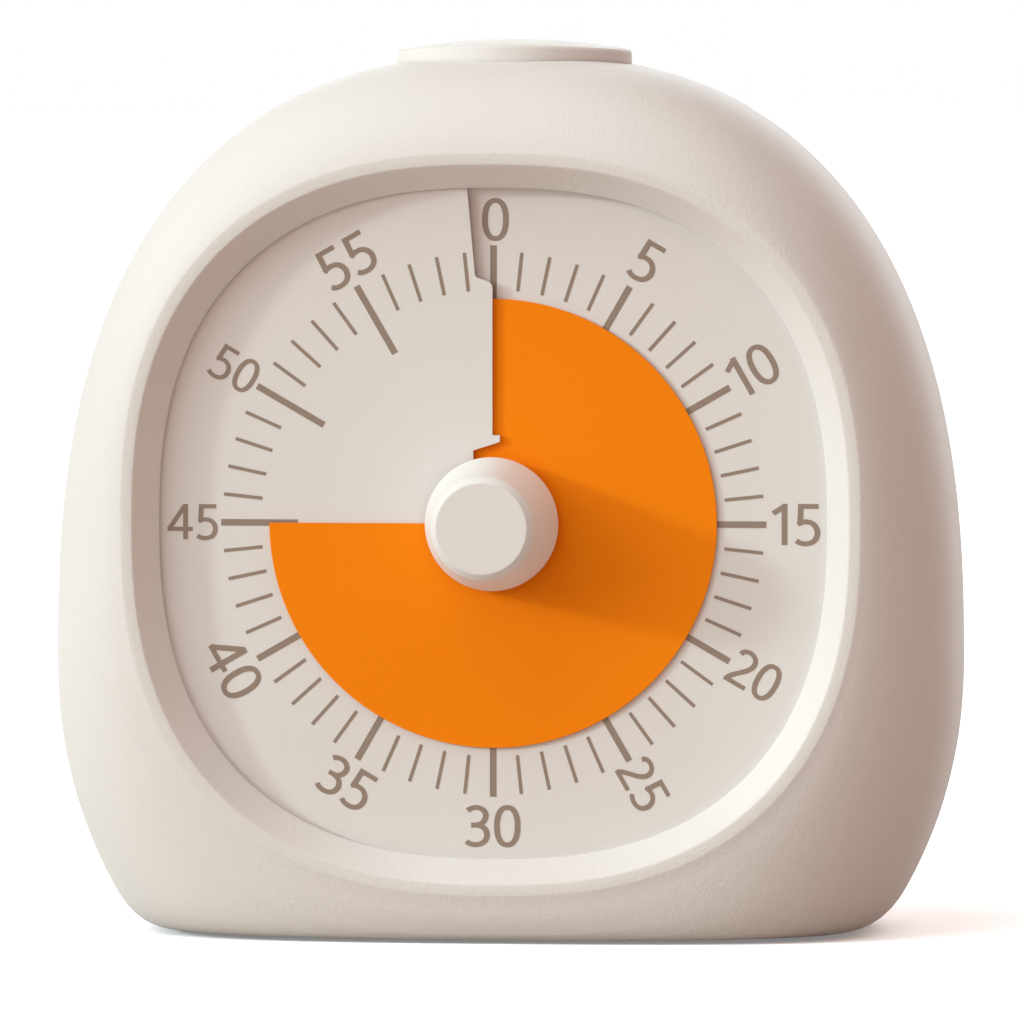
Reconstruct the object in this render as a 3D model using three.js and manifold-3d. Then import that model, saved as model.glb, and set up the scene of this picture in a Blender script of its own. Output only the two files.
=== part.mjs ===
// Visual countdown timer: a domed desk timer whose coloured disc shows the minutes that are left.
// Millimetres, +Z up. The dial faces -Y, the timer stands on z = 0, and x = 0 is its middle.

import * as THREE from "three";
import { mergeVertices } from "three/addons/utils/BufferGeometryUtils.js";
import Module from "manifold-3d";

const wasm = await Module();
wasm.setup();

// Clearances and overruns
const play = 0.1; // between flat faces that rest on each other
const turnedPlay = 0.3; // between a post and its hole in a piece of the tilted dial stack
const runningPlay = 0.1; // round a shaft
const slidePlay = 0.3; // round a button or slider in its opening
const overrun = 1; // how far a cutter runs past what it cuts
const embed = 0.8; // how far a boss or rib sinks into the wall that it grows from

// Casing: the widest section, seen from the front
const bodyHalfWidth = 47.5;
const bodyHeight = 92.1;
const widestHeight = 28;
const bodyBelowWidest = 47.15; // how deep the lower half would reach if the floor did not cut it
const bodyUpperPower = 2.485;
const bodyLowerPower = 2.06;
const standGap = 0.4; // the shell's flat underside hangs this far above the floor
const footRounding = 4; // height over which the side rolls into the underside

// Casing: its front lip and its flat back
const lipSideMargin = 8.7; // from the widest section's side to the lip's outer edge
const lipTopMargin = 7.25;
const dialDrop = 2.4; // the dial's centre under the middle of the body's height
const facePower = 2.46;
const backSideMargin = 9.5;
const backTopMargin = 8.05;
const backDrop = 3.55;
const backPower = 2.6;
const frontDepth = 24; // from the widest section forward to the lip
const backDepth = 24; // from the widest section to the flat back
const frontCurvePower = 3.2;
const backCurvePower = 2.6;
const frontCurveShare = 0.9; // how much of a full quarter curve the front side follows
const backCurveShare = 0.95;
const seamDepth = 8; // from the flat back forward to the joint of the two shells
const seamGap = 0.3;
const wall = 2.2;
const outlineCount = 56; // points round the outside
const innerCount = 34; // points round an inner surface
const frontRowShares = [1, 0.9, 0.78, 0.64, 0.48, 0.3, 0];
const backRowShares = [0.34, 0.52, 0.68, 0.82, 0.92, 0.97, 1];
const innerFrontShares = [1, 0.84, 0.66, 0.44, 0];
const innerBackShares = [0.45, 0.7, 0.88];

// Funnel round the dial
const lipWidth = 1.5;
const funnelWidth = 2.4;
const funnelDepth = 2.9;
const footThickness = 0.4; // the funnel's edge, behind which the dial is seated

// Dial plate: a thin sheet that climbs once round, so that the disc can pass through its cut
const dialSheet = 0.35;
const discSheet = 0.2;
const discGap = 0.2; // between the disc and the sheet, in front of it and behind it
const dialHolePlay = 0.7; // round the disc's sleeve
const dialOverlapAngle = 20; // degrees that the low side reaches under the raised side
const flapAngle = 8; // degrees that the raised side reaches past the top
const dialRimWidth = 3.8;
const dialRimReach = 0.2; // how far behind the funnel's edge the rim starts
const dialRimBack = 0.25; // the rim stands this far behind the lowest sheet
const sheetCount = 52;
const flapRimOffset = 2.69; // the raised edge, from the rim inwards, left of the upright line
const flapShoulderOffset = 1.88;
const flapShoulderReach = 2.35; // beyond the disc's edge
const flapShoulderDrop = 1.6;
const flapLineOffset = 0.03;
const flapTabReach = 2.18; // beyond the knob's base, like the notch
const flapTabWidth = 0.72;
const flapTabHeight = 0.76;
const flapNotchReach = 0.53;
const flapNotchOffset = 2.05;

// Coloured disc with its keyed sleeve
const discRadius = 23.35;
const sleeveRadius = 5.3;
const sleeveBack = 0.1;
const sleeveFront = 1.3;
const discCutAngle = 1.5;
const discLeadAngle = 270; // the leading edge stands at 45 minutes
const discCount = 52;

// Spindle and knob
const spindleRadius = 1.5;
const spindleFlat = 1; // distance of the key flat from the axis
const spindleFlatBack = 1.1;
const collarRadius = 2.4;
const collarLength = 0.7;
const knobBaseRadius = 6.95;
const knobShoulderRadius = 5.3;
const knobFaceRadius = 4.67;
const knobLength = 10.85;
const knobChamfer = 0.7;
const knobEdge = 0.35;
const knobGap = 0.25; // between the knob and the disc at its foremost
const knobWall = 3; // solid front of the knob, ahead of its blind bore
const knobCount = 36;

// Chassis plate that clamps the dial and carries the movement
const chassisOutset = 0.6; // how far the chassis reaches past the lip's outer edge
const chassisThickness = 1.6;
const chassisRimWidth = 3.6;
const chassisGap = 0.3; // free space between the disc and the chassis
const dialPostInset = 1.2; // of the posts' middles from the lip's outer edge
const dialPostRadius = 1.7;

// Small and large screws
const smallHeadRadius = 1.9;
const smallHeadHeight = 1.2;
const smallShankRadius = 0.75;
const smallHoleRadius = 1;
const pilotPlay = 0.1;
const caseHeadRadius = 2.3;
const caseHeadHeight = 1.6;
const caseShankRadius = 1.1;
const caseShankLength = 9;
const caseHoleRadius = 1.3;
const screwCount = 8;
const driveWidth = 0.5;
const driveDepth = 0.7;
const driveShare = 1.3; // length of the cross recess over the head's radius

// Movement case
const movementHalfWidth = 21;
const movementAbove = 12; // from the spindle up
const movementWall = 1.2;
const movementRoom = 1; // free space behind the motor's magnet
const earReach = 5.4;
const earHalfHeight = 3.6;
const earBelow = 5; // the ears' middle under the spindle
const bushRadius = 3.2;

// Gear train
const minuteTeeth = 48;
const idlerPinionTeeth = 8;
const idlerTeeth = 40;
const rotorPinionTeeth = 8;
const minuteModule = 0.35;
const idlerModule = 0.3;
const addendumShare = 0.72;
const dedendumShare = 1.1;
const toothRootShare = 0.3;
const toothTipShare = 0.12;
const idlerAngle = 140; // clockwise from the top, seen from the front
const rotorAngle = 233;
const wheelThickness = 1.4;
const pinionThickness = 1.8;
const wheelStep = 0.75; // free space between the case plate and the first wheel
const clutchGap = 0.12;
const clutchRadius = 3.2;
const clutchThickness = 0.3;
const clutchDish = 0.3;
const idlerWheelBack = 4.55; // from the case plate to the front of the second layer
const idlerWheelThickness = 1.1;
const arborRadius = 0.6;
const magnetBack = 6.3;
const magnetRadius = 3;
const magnetThickness = 2.5;

// Motor
const statorMargin = 3.3; // between the stator and the movement's walls
const statorNeck = 0.8; // metal left over the magnet's hole
const statorGap = 4.4; // from the yoke's lower edge to the coil's axis
const coilDrop = 9.16; // from the rotor's axis down to the coil's
const statorFoot = 3.4; // how far the arms reach past the coil's axis
const statorFootGap = 1.4; // between the arms' ends and the movement's lower wall
const statorArm = 4.5;
const statorThickness = 1.4;
const statorPlay = 0.7; // air gap round the magnet
const coilRadius = 2.8;
const coilFlangeRadius = 3.3;
const coilFlange = 0.8;
const coreWidth = 3;
const coreThickness = 1;

// Electronics on the movement
const boardWidth = 38;
const boardHeight = 28;
const boardThickness = 1.2;
const boardPostRadius = 1.2;
const boardPostX = 15;
const boardStandoff = 0.9;
const chipWidth = 8;
const chipHeight = 6;
const chipThickness = 1.4;
const chipX = -6;
const crystalRadius = 1;
const crystalLength = 6;
const crystalX = 6;

// Top button and what it presses
const buttonY = 1.5;
const buttonRadius = 12.4;
const buttonProud = 1.7; // how far the button's middle stands above the dome
const buttonSideDrop = 1.15; // the top falls this much towards left and right
const buttonFrontDrop = 0.55;
const buttonEdge = 0.4;
const buttonShell = 1.6;
const buttonFlangeWidth = 1.1;
const buttonFlange = 1.2;
const buttonFlangeGap = 0.5; // between the flange and the roof over it
const buttonTravel = 1.2;
const buttonFreeGap = 0.25; // between the pressed stem and the switch
const stemRadius = 2.5;
const buttonCount = 36;
const buttonRingShares = [0.72, 0.4, 0.12];
const springRadius = 5.2;
const springWire = 0.5;
const springTurns = 6;
const springHalfSides = 3; // facets on half of the wire's section
const springStepCount = 8; // steps of the wire in one turn
const switchSize = 6;
const switchHeight = 1.6;
const switchBoardWidth = 14;
const switchBoardDepth = 12;
const switchBoardThickness = 1;
const switchBoardDrop = 12.6; // under the dome's crest
const bracketEnd = 0.6; // how far the bracket reaches past its posts
const bracketDepth = 12;
const bracketThickness = 1.5;
const bracketPostGap = 1.4; // between the posts and the button's flange
const bracketPostRadius = 2.5;

// Base pad
const padWidth = 50;
const padDepth = 30;
const padThickness = 1.4;
const padCorner = 6;
const padY = 0;

// Rear cover
const tongueThickness = 1.2;
const tongueLength = 2.6;
const tongueRoot = 1.2; // how far the tongue's thick root runs along the cover's wall
const lowerPostShare = 0.379; // of the body's half width
const upperPostShare = 0.5684;
const lowerPostZ = 9.8;
const upperPostDrop = 24.1; // under the dome's crest
const postRadius = 3.4;
const postReach = 2.8; // how far the cover's posts reach past its edge
const postFloor = 2;
const counterboreRadius = 2.7;
const casePostLength = 11;
const casePostRadius = 3.1;
const ribThickness = 1.6;
const soundSideShare = 0.27; // of the body's half width
const soundHeightShare = 0.65; // of the body's height
const soundHoleRadius = 0.9;
const soundHoleSpacing = 3.6;
const soundHoleCount = 6;

// Battery, its tray and its door
const batteryRadius = 7.25;
const batteryLength = 49.2;
const batteryNubRadius = 2.7;
const batteryNubLength = 1.3;
const batteryZ = 27;
const batteryPlay = 0.35;
const trayWall = 1.4;
const contactWidth = 9;
const contactThickness = 0.4;
const minusSpringLength = 3.6;
const minusSpringRadius = 3.4;
const minusSpringTurns = 4;
const doorThickness = 1.8;
const doorLedge = 1.9; // how far the door overlaps the compartment's edge
const doorFrame = 2; // extra wall round the door's recess
const doorFrameDepth = 3.2;
const doorInnerGap = 0.45; // between the battery and the door
const doorGripCount = 4;
const doorGripWidth = 13;
const doorGripHeight = 0.7;
const doorGripSpacing = 1.7;
const doorGripDepth = 0.4;
const doorGripDrop = 3; // of the first groove under the door's top edge

// Buzzer and sound switch
const buzzerRadius = 9;
const buzzerThickness = 3;
const buzzerRib = 1;
const buzzerRibDepth = 2.4;
const sliderWidth = 4;
const sliderHeight = 2.8;
const sliderTravel = 4;
const sliderStem = 1.6;
const sliderStemDepth = 1.5;
const switchCaseWidth = 14;
const switchCaseHeight = 6;
const switchCaseDepth = 4;

// Places that follow from the sizes
const dialHeight = bodyHeight / 2 - dialDrop;
const lipHalfWidth = bodyHalfWidth - lipSideMargin;
const lipHalfHeight = bodyHeight / 2 - lipTopMargin;
const faceY = -frontDepth;
const seatY = faceY + funnelDepth + footThickness;
const rise = dialSheet + discSheet + 2 * discGap; // what the dial climbs in one turn
const lowDialY = seatY + play + rise;
const footInset = lipWidth + funnelWidth; // from the lip's outer edge, like the next two
const rimInset = footInset - dialRimReach;
const rimEndInset = rimInset - dialRimWidth;
const rimBack = -dialSheet - dialRimBack;
const chassisFront = discGap - rise - chassisGap;
const chassisBack = chassisFront - chassisThickness;
const movementFront = chassisBack - play;
const platesBack = movementFront - movementWall;
const movementBack = platesBack - magnetBack - magnetThickness - movementRoom - movementWall;
const discFront = discGap + discSheet;
const knobBack = rise + discFront + knobGap;
const knobFront = knobBack + knobLength;
const boardFrontY = lowDialY - movementBack + boardStandoff;
const idlerDistance = (minuteModule * (minuteTeeth + idlerPinionTeeth)) / 2;
const rotorDistance = (idlerModule * (idlerTeeth + rotorPinionTeeth)) / 2;
const seamY = backDepth - seamDepth;
const postEndY = seamY - postReach;
const innerBackY = backDepth - wall;
const doorFrontY = backDepth - doorThickness;
const batteryY = doorFrontY - doorInnerGap - batteryRadius;
const trayHalfLength =
  (batteryLength + batteryNubLength + contactThickness + minusSpringLength + 4 * play) / 2;
const trayHalfHeight = batteryRadius + batteryPlay;
const trayFrontY = batteryY - trayHalfHeight;
const doorHalfWidth = trayHalfLength + doorLedge;
const doorHalfHeight = trayHalfHeight + doorLedge;
const buttonTop = bodyHeight + buttonProud;
const switchBoardTop = bodyHeight - switchBoardDrop;
const buttonFlangeRadius = buttonRadius + buttonFlangeWidth;
const bracketPostX = buttonFlangeRadius + bracketPostGap + bracketPostRadius;
const bracketHalfWidth = bracketPostX + bracketPostRadius + bracketEnd;
const buttonHole = buttonRadius + slidePlay;
const stemEnd = switchBoardTop + play + switchHeight + buttonTravel + buttonFreeGap;
const casePosts = [-1, 1].flatMap((side) => [
  [side * bodyHalfWidth * lowerPostShare, lowerPostZ],
  [side * bodyHalfWidth * upperPostShare, bodyHeight - upperPostDrop],
]);
const soundX = bodyHalfWidth * soundSideShare;
const soundZ = bodyHeight * soundHeightShare;

// Solids for boolean work

function solid(geometry) {
  const bare = geometry.clone();
  bare.deleteAttribute("normal");
  bare.deleteAttribute("uv");
  const merged = mergeVertices(bare);
  return new wasm.Manifold(
    new wasm.Mesh({
      numProp: 3,
      vertProperties: merged.attributes.position.array,
      triVerts: new Uint32Array(merged.index.array),
    }),
  );
}

function geometryOf(body) {
  const mesh = body.getMesh();
  const geometry = new THREE.BufferGeometry();
  geometry.setAttribute("position", new THREE.BufferAttribute(mesh.vertProperties, 3));
  geometry.setIndex(new THREE.BufferAttribute(mesh.triVerts, 1));
  const flat = geometry.toNonIndexed();
  flat.computeVertexNormals();
  return flat;
}

function join(first, ...others) {
  return others.reduce((sum, other) => sum.add(other), first);
}

function cut(first, ...others) {
  return others.reduce((rest, other) => rest.subtract(other), first);
}

// A closed skin over a row of outlines with equally many points, with flat ends.
function loft(outlines) {
  const count = outlines[0].length;
  const points = outlines.flat();
  const faces = [];
  for (let row = 0; row + 1 < outlines.length; row++) {
    for (let k = 0; k < count; k++) {
      const a = row * count + k;
      const b = row * count + ((k + 1) % count);
      faces.push([a, a + count, b], [b, a + count, b + count]);
    }
  }
  const last = points.length - count;
  for (let k = 1; k + 1 < count; k++) {
    faces.push([0, k, k + 1], [last, last + k + 1, last + k]);
  }
  const volume = faces.reduce(
    (sum, [a, b, c]) => sum + points[a].dot(points[b].clone().cross(points[c])),
    0,
  );
  const outward = volume < 0 ? faces.map(([a, b, c]) => [a, c, b]) : faces;
  const geometry = new THREE.BufferGeometry().setFromPoints(points);
  geometry.setIndex(outward.flat());
  return solid(geometry);
}

function block(lowest, highest) {
  const size = highest.map((high, axis) => high - lowest[axis]);
  const middle = highest.map((high, axis) => (high + lowest[axis]) / 2);
  return solid(new THREE.BoxGeometry(...size).translate(...middle));
}

// A round bar between two points.
function rod(radius, start, end, count = 16) {
  const from = new THREE.Vector3(...start);
  const to = new THREE.Vector3(...end);
  const along = to.clone().sub(from);
  const turn = new THREE.Quaternion().setFromUnitVectors(
    new THREE.Vector3(0, 1, 0),
    along.clone().normalize(),
  );
  const geometry = new THREE.CylinderGeometry(radius, radius, along.length(), count);
  geometry.applyQuaternion(turn);
  const middle = from.add(to).multiplyScalar(1 / 2);
  return solid(geometry.translate(middle.x, middle.y, middle.z));
}

// A turned piece: its profile lists [radius, height] from axis to axis, and its axis is Z.
function turned(profile, count) {
  const points = profile.map(([radius, height]) => new THREE.Vector2(radius, height));
  return solid(new THREE.LatheGeometry(points, count).rotateX(Math.PI / 2));
}

// A flat plate of an outline in X and Y, from one height to another.
function plate(shape, low, high, curveSegments = 6) {
  const settings = { depth: high - low, bevelEnabled: false, curveSegments };
  return solid(new THREE.ExtrudeGeometry(shape, settings).translate(0, 0, low));
}

function polygon(points) {
  return new THREE.Shape(points.map(([x, y]) => new THREE.Vector2(x, y)));
}

// The casing's form

function signedPower(value, power) {
  return Math.sign(value) * Math.abs(value) ** power;
}

// A point of an outline whose upper and lower halves are superellipses.
function outlinePoint(form, angle, inset) {
  const up = Math.sin(angle) > 0;
  const power = 2 / (up ? form.upperPower : form.lowerPower);
  const height = (up ? form.above : form.below) - inset;
  return [
    (form.halfWidth - inset) * signedPower(Math.cos(angle), power),
    form.middle + height * signedPower(Math.sin(angle), power),
  ];
}

const widestForm = {
  halfWidth: bodyHalfWidth,
  middle: widestHeight,
  above: bodyHeight - widestHeight,
  below: bodyBelowWidest,
  upperPower: bodyUpperPower,
  lowerPower: bodyLowerPower,
};
const lipForm = {
  halfWidth: lipHalfWidth,
  middle: dialHeight,
  above: lipHalfHeight,
  below: lipHalfHeight,
  upperPower: facePower,
  lowerPower: facePower,
};
const backForm = {
  halfWidth: bodyHalfWidth - backSideMargin,
  middle: bodyHeight / 2 - backDrop,
  above: bodyHeight / 2 - backTopMargin,
  below: bodyHeight / 2 - backTopMargin,
  upperPower: backPower,
  lowerPower: backPower,
};

// The side rolls smoothly into the flat underside.
function softFloor(z, floor) {
  const above = z - floor;
  if (above > footRounding) return z;
  if (above < -footRounding) return floor;
  return floor + (above + footRounding) ** 2 / (4 * footRounding);
}

// How far the side has swelled from its end outline to the widest one: 0 at the end, 1 at y = 0.
function fullness(share, curveShare, power) {
  const height = (along) => (1 - along ** power) ** (1 / power);
  const end = height(curveShare);
  return (height(curveShare * share) - end) / (1 - end);
}

// A point of the casing's surface at a depth, drawn in from the outside by an inset.
function bodyPoint(angle, y, inset) {
  const front = y < 0;
  const share = front
    ? fullness(-y / frontDepth, frontCurveShare, frontCurvePower)
    : fullness(y / backDepth, backCurveShare, backCurvePower);
  const [x, z] = outlinePoint(front ? lipForm : backForm, angle, inset);
  const [wideX, wideZ] = outlinePoint(widestForm, angle, inset);
  return new THREE.Vector3(
    x + (wideX - x) * share,
    y,
    softFloor(z + (wideZ - z) * share, standGap + inset),
  );
}

function bodyOutline(y, inset, count = outlineCount) {
  return Array.from({ length: count }, (_, k) =>
    bodyPoint((2 * Math.PI * (k + 1 / 2)) / count, y, inset),
  );
}

// The casing's whole outer form, and the form of its inner surfaces with fewer facets.
function outerForm() {
  const depths = [
    ...frontRowShares.map((share) => -share * frontDepth),
    ...backRowShares.map((share) => share * backDepth),
  ];
  return loft(depths.map((y) => bodyOutline(y, 0)));
}

function innerForm(inset) {
  const depths = [
    ...innerFrontShares.map((share) => -share * frontDepth),
    ...innerBackShares.map((share) => share * backDepth),
    backDepth,
  ];
  return loft(depths.map((y) => bodyOutline(y, inset, innerCount)));
}

// The button's flange lies under the lowest part of the roof over it.
const flangeSide = (buttonFlangeRadius / (bodyHalfWidth - wall)) ** (bodyUpperPower / 2);
const flangeRoofs = [
  bodyPoint(Math.PI / 2, buttonY - buttonFlangeRadius, wall),
  bodyPoint(Math.PI / 2, buttonY + buttonFlangeRadius, wall),
  bodyPoint(Math.acos(flangeSide), buttonY, wall),
];
const buttonFlangeTop = Math.min(...flangeRoofs.map((point) => point.z)) - buttonFlangeGap;

// The part of a solid between two depths.
function slice(body, fromY, toY) {
  const reach = 2 * bodyHeight;
  return body.intersect(block([-reach, fromY, -reach], [reach, toY, reach]));
}

// The lip's outer outline drawn in by an inset, in the dial's own X and Y.
function faceShape(inset, count = innerCount) {
  const form = { ...lipForm, middle: 0 };
  return polygon(
    Array.from({ length: count }, (_, k) =>
      outlinePoint(form, (2 * Math.PI * (k + 1 / 2)) / count, inset),
    ),
  );
}

function faceRing(outerInset, innerInset) {
  const shape = faceShape(outerInset);
  shape.holes.push(faceShape(innerInset));
  return shape;
}

function faceOutline(inset, y) {
  return faceShape(inset, outlineCount)
    .getPoints()
    .map((point) => new THREE.Vector3(point.x, y, point.y + dialHeight));
}

// Distance of such an outline from its centre, at an angle clockwise from the top.
function faceReach(inset, angle) {
  const across = Math.abs(Math.sin(angle)) / (lipHalfWidth - inset);
  const along = Math.abs(Math.cos(angle)) / (lipHalfHeight - inset);
  return 1 / (across ** facePower + along ** facePower) ** (1 / facePower);
}

// Casing pieces

function dialPostSpots() {
  const corner = Math.SQRT1_2 ** (2 / facePower);
  const x = (lipHalfWidth - dialPostInset) * corner;
  const y = (lipHalfHeight - dialPostInset) * corner;
  return [
    [-x, -y],
    [x, -y],
    [-x, y],
    [x, y],
  ];
}

// A screw post for the rear cover, with a rib to the nearest wall.
function casePost([x, z]) {
  const end = postEndY - play;
  const start = end - casePostLength;
  const post = rod(casePostRadius, [x, start, z], [x, end, z]);
  const low = z < widestHeight;
  const side = Math.sign(x);
  const ribEnds = low
    ? [
        [x - ribThickness / 2, start, 0],
        [x + ribThickness / 2, end, z],
      ]
    : [
        [Math.min(x, side * bodyHalfWidth), start, z - ribThickness / 2],
        [Math.max(x, side * bodyHalfWidth), end, z + ribThickness / 2],
      ];
  return join(post, block(...ribEnds));
}

function frontShell() {
  const outer = slice(outerForm(), faceY, seamY);
  const hollow = slice(innerForm(wall), seatY, seamY + overrun);
  const funnel = loft([
    faceOutline(lipWidth, faceY - overrun),
    faceOutline(lipWidth, faceY),
    faceOutline(footInset, faceY + funnelDepth),
    faceOutline(footInset, seatY + overrun),
  ]);
  const inside = slice(innerForm(wall - embed), seatY - embed, seamY + overrun);
  const dialPosts = dialPostSpots().map(([x, z]) =>
    rod(
      dialPostRadius,
      [x, seatY - embed, z + dialHeight],
      [x, lowDialY - chassisFront - play, z + dialHeight],
    ),
  );
  const bracketPosts = [-bracketPostX, bracketPostX].map((x) =>
    rod(bracketPostRadius, [x, buttonY, switchBoardTop], [x, buttonY, bodyHeight]),
  );
  const growths = join(...dialPosts, ...bracketPosts, ...casePosts.map(casePost));
  const shell = cut(outer, hollow, funnel).add(growths.intersect(inside));
  const dialPilots = dialPostSpots().map(([x, z]) =>
    rod(
      smallShankRadius + pilotPlay,
      [x, seatY, z + dialHeight],
      [x, lowDialY - chassisFront + overrun, z + dialHeight],
    ),
  );
  const bracketPilots = [-bracketPostX, bracketPostX].map((x) =>
    rod(
      smallShankRadius + pilotPlay,
      [x, buttonY, switchBoardTop - overrun],
      [x, buttonY, buttonFlangeTop],
    ),
  );
  const casePilots = casePosts.map(([x, z]) =>
    rod(
      caseShankRadius + pilotPlay,
      [x, postEndY - casePostLength + ribThickness, z],
      [x, postEndY + overrun, z],
    ),
  );
  return cut(
    shell,
    rod(buttonHole, [0, buttonY, switchBoardTop], [0, buttonY, bodyHeight + overrun], buttonCount),
    plate(padShape(play), 0, padThickness + play),
    ...dialPilots,
    ...bracketPilots,
    ...casePilots,
  );
}

// The pad's rounded outline, grown by a margin for the recess that holds it.
function padShape(margin) {
  const x = padWidth / 2 + margin;
  const y = padDepth / 2 + margin;
  const r = padCorner + margin;
  const shape = new THREE.Shape();
  shape.absarc(x - r, padY + y - r, r, 0, Math.PI / 2);
  shape.absarc(r - x, padY + y - r, r, Math.PI / 2, Math.PI);
  shape.absarc(r - x, padY + r - y, r, Math.PI, 1.5 * Math.PI);
  shape.absarc(x - r, padY + r - y, r, 1.5 * Math.PI, 2 * Math.PI);
  return shape;
}

function soundHoles() {
  const spots = [[-soundX, soundZ]];
  for (let k = 0; k < soundHoleCount; k++) {
    const angle = (2 * Math.PI * k) / soundHoleCount;
    spots.push([
      -soundX + soundHoleSpacing * Math.cos(angle),
      soundZ + soundHoleSpacing * Math.sin(angle),
    ]);
  }
  return spots.map(([x, z]) =>
    rod(soundHoleRadius, [x, innerBackY - overrun, z], [x, backDepth + overrun, z], 10),
  );
}

function rearCover() {
  const start = seamY + seamGap;
  const outer = slice(outerForm(), start, backDepth);
  const hollow = slice(innerForm(wall), start - overrun, innerBackY);
  const tongue = cut(
    join(
      slice(innerForm(wall + seamGap), seamY - tongueLength, start + tongueRoot),
      slice(innerForm(wall - embed), start, start + tongueRoot),
    ),
    innerForm(wall + seamGap + tongueThickness),
  );
  const tray = block(
    [-trayHalfLength - trayWall, trayFrontY - trayWall, batteryZ - trayHalfHeight - trayWall],
    [trayHalfLength + trayWall, doorFrontY, batteryZ + trayHalfHeight + trayWall],
  );
  const frame = block(
    [
      -doorHalfWidth - doorFrame,
      doorFrontY - doorFrameDepth,
      batteryZ - doorHalfHeight - doorFrame,
    ],
    [doorHalfWidth + doorFrame, doorFrontY, batteryZ + doorHalfHeight + doorFrame],
  );
  const posts = casePosts.map(([x, z]) =>
    rod(postRadius, [x, postEndY, z], [x, innerBackY + embed, z]),
  );
  const buzzerRing = cut(
    rod(
      buzzerRadius + slidePlay + buzzerRib,
      [-soundX, innerBackY - buzzerRibDepth, soundZ],
      [-soundX, innerBackY + embed, soundZ],
      32,
    ),
    rod(
      buzzerRadius + slidePlay,
      [-soundX, innerBackY - buzzerRibDepth - overrun, soundZ],
      [-soundX, innerBackY, soundZ],
      32,
    ),
  );
  const whole = join(cut(outer, hollow), tongue, tray, frame, buzzerRing, ...posts);
  const compartment = block(
    [-trayHalfLength, trayFrontY, batteryZ - trayHalfHeight],
    [trayHalfLength, backDepth + overrun, batteryZ + trayHalfHeight],
  );
  const doorRecess = block(
    [-doorHalfWidth - slidePlay, doorFrontY - play, batteryZ - doorHalfHeight - slidePlay],
    [doorHalfWidth + slidePlay, backDepth + overrun, batteryZ + doorHalfHeight + slidePlay],
  );
  const screwWays = casePosts.flatMap(([x, z]) => [
    rod(caseHoleRadius, [x, postEndY - overrun, z], [x, backDepth, z]),
    rod(counterboreRadius, [x, postEndY + postFloor, z], [x, backDepth + overrun, z]),
  ]);
  const sliderSlot = block(
    [
      soundX - sliderWidth / 2 - slidePlay,
      innerBackY - overrun,
      soundZ - sliderHeight / 2 - slidePlay,
    ],
    [
      soundX + sliderWidth / 2 + sliderTravel + slidePlay,
      backDepth + overrun,
      soundZ + sliderHeight / 2 + slidePlay,
    ],
  );
  const buttonRoom = rod(
    buttonFlangeRadius + 2 * slidePlay,
    [0, buttonY, switchBoardTop],
    [0, buttonY, bodyHeight],
    buttonCount,
  );
  return cut(
    whole,
    compartment,
    doorRecess,
    ...screwWays,
    sliderSlot,
    buttonRoom,
    plate(padShape(play), 0, padThickness + play),
    ...soundHoles(),
  );
}

function batteryDoor() {
  const body = block(
    [-doorHalfWidth, doorFrontY, batteryZ - doorHalfHeight],
    [doorHalfWidth, backDepth, batteryZ + doorHalfHeight],
  );
  const grooves = Array.from({ length: doorGripCount }, (_, k) => {
    const z = batteryZ + doorHalfHeight - doorGripDrop - k * doorGripSpacing;
    return block(
      [-doorGripWidth / 2, backDepth - doorGripDepth, z - doorGripHeight / 2],
      [doorGripWidth / 2, backDepth + overrun, z + doorGripHeight / 2],
    );
  });
  return cut(body, ...grooves);
}

function basePad() {
  return plate(padShape(0), 0, padThickness);
}

// Dial pieces, in the dial's own frame: X right, Y up, Z towards the viewer

// A strip that climbs evenly as it goes clockwise, between two angles in degrees.
function climbingSheet(innerRadius, reach, from, to, bottom, thickness, count) {
  const rows = Array.from({ length: count + 1 }, (_, k) => {
    const degrees = from + ((to - from) * k) / count;
    const angle = THREE.MathUtils.degToRad(degrees);
    const low = bottom + (rise * degrees) / 360;
    const corner = (radius, height) =>
      new THREE.Vector3(radius * Math.sin(angle), radius * Math.cos(angle), height);
    const outer = reach(angle);
    return [
      corner(innerRadius, low),
      corner(outer, low),
      corner(outer, low + thickness),
      corner(innerRadius, low + thickness),
    ];
  });
  return loft(rows);
}

// What is cut from the raised side of the dial, right of its edge.
function flapCutter() {
  const outside = lipHalfWidth + lipHalfHeight;
  const shoulder = discRadius + flapShoulderReach;
  const tab = knobBaseRadius + flapTabReach;
  const shape = new THREE.Shape();
  shape.moveTo(-flapRimOffset, outside);
  shape.lineTo(-flapRimOffset, lipHalfHeight - footInset);
  shape.lineTo(-flapShoulderOffset, shoulder);
  shape.quadraticCurveTo(
    -flapLineOffset,
    shoulder - flapShoulderDrop / 2,
    -flapLineOffset,
    shoulder - flapShoulderDrop,
  );
  shape.lineTo(-flapLineOffset, tab);
  shape.lineTo(flapTabWidth, tab);
  shape.lineTo(flapTabWidth, tab - flapTabHeight);
  shape.lineTo(-flapNotchOffset, knobBaseRadius + flapNotchReach);
  shape.lineTo(-flapNotchOffset, 0);
  shape.lineTo(outside, 0);
  shape.lineTo(outside, outside);
  return plate(shape, rise / 3, 2 * rise, 4);
}

function dialPlate() {
  const sheet = climbingSheet(
    sleeveRadius + dialHolePlay,
    (angle) => faceReach((rimInset + rimEndInset) / 2, angle),
    -dialOverlapAngle,
    360 + flapAngle,
    -dialSheet,
    dialSheet,
    sheetCount,
  );
  const rim = plate(faceRing(rimEndInset, rimInset), rimBack, rise);
  const holes = dialPostSpots().map(([x, y]) =>
    rod(dialPostRadius + turnedPlay, [x, y, rimBack - overrun], [x, y, rise + overrun]),
  );
  return cut(join(cut(sheet, flapCutter()), rim), ...holes);
}

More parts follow.
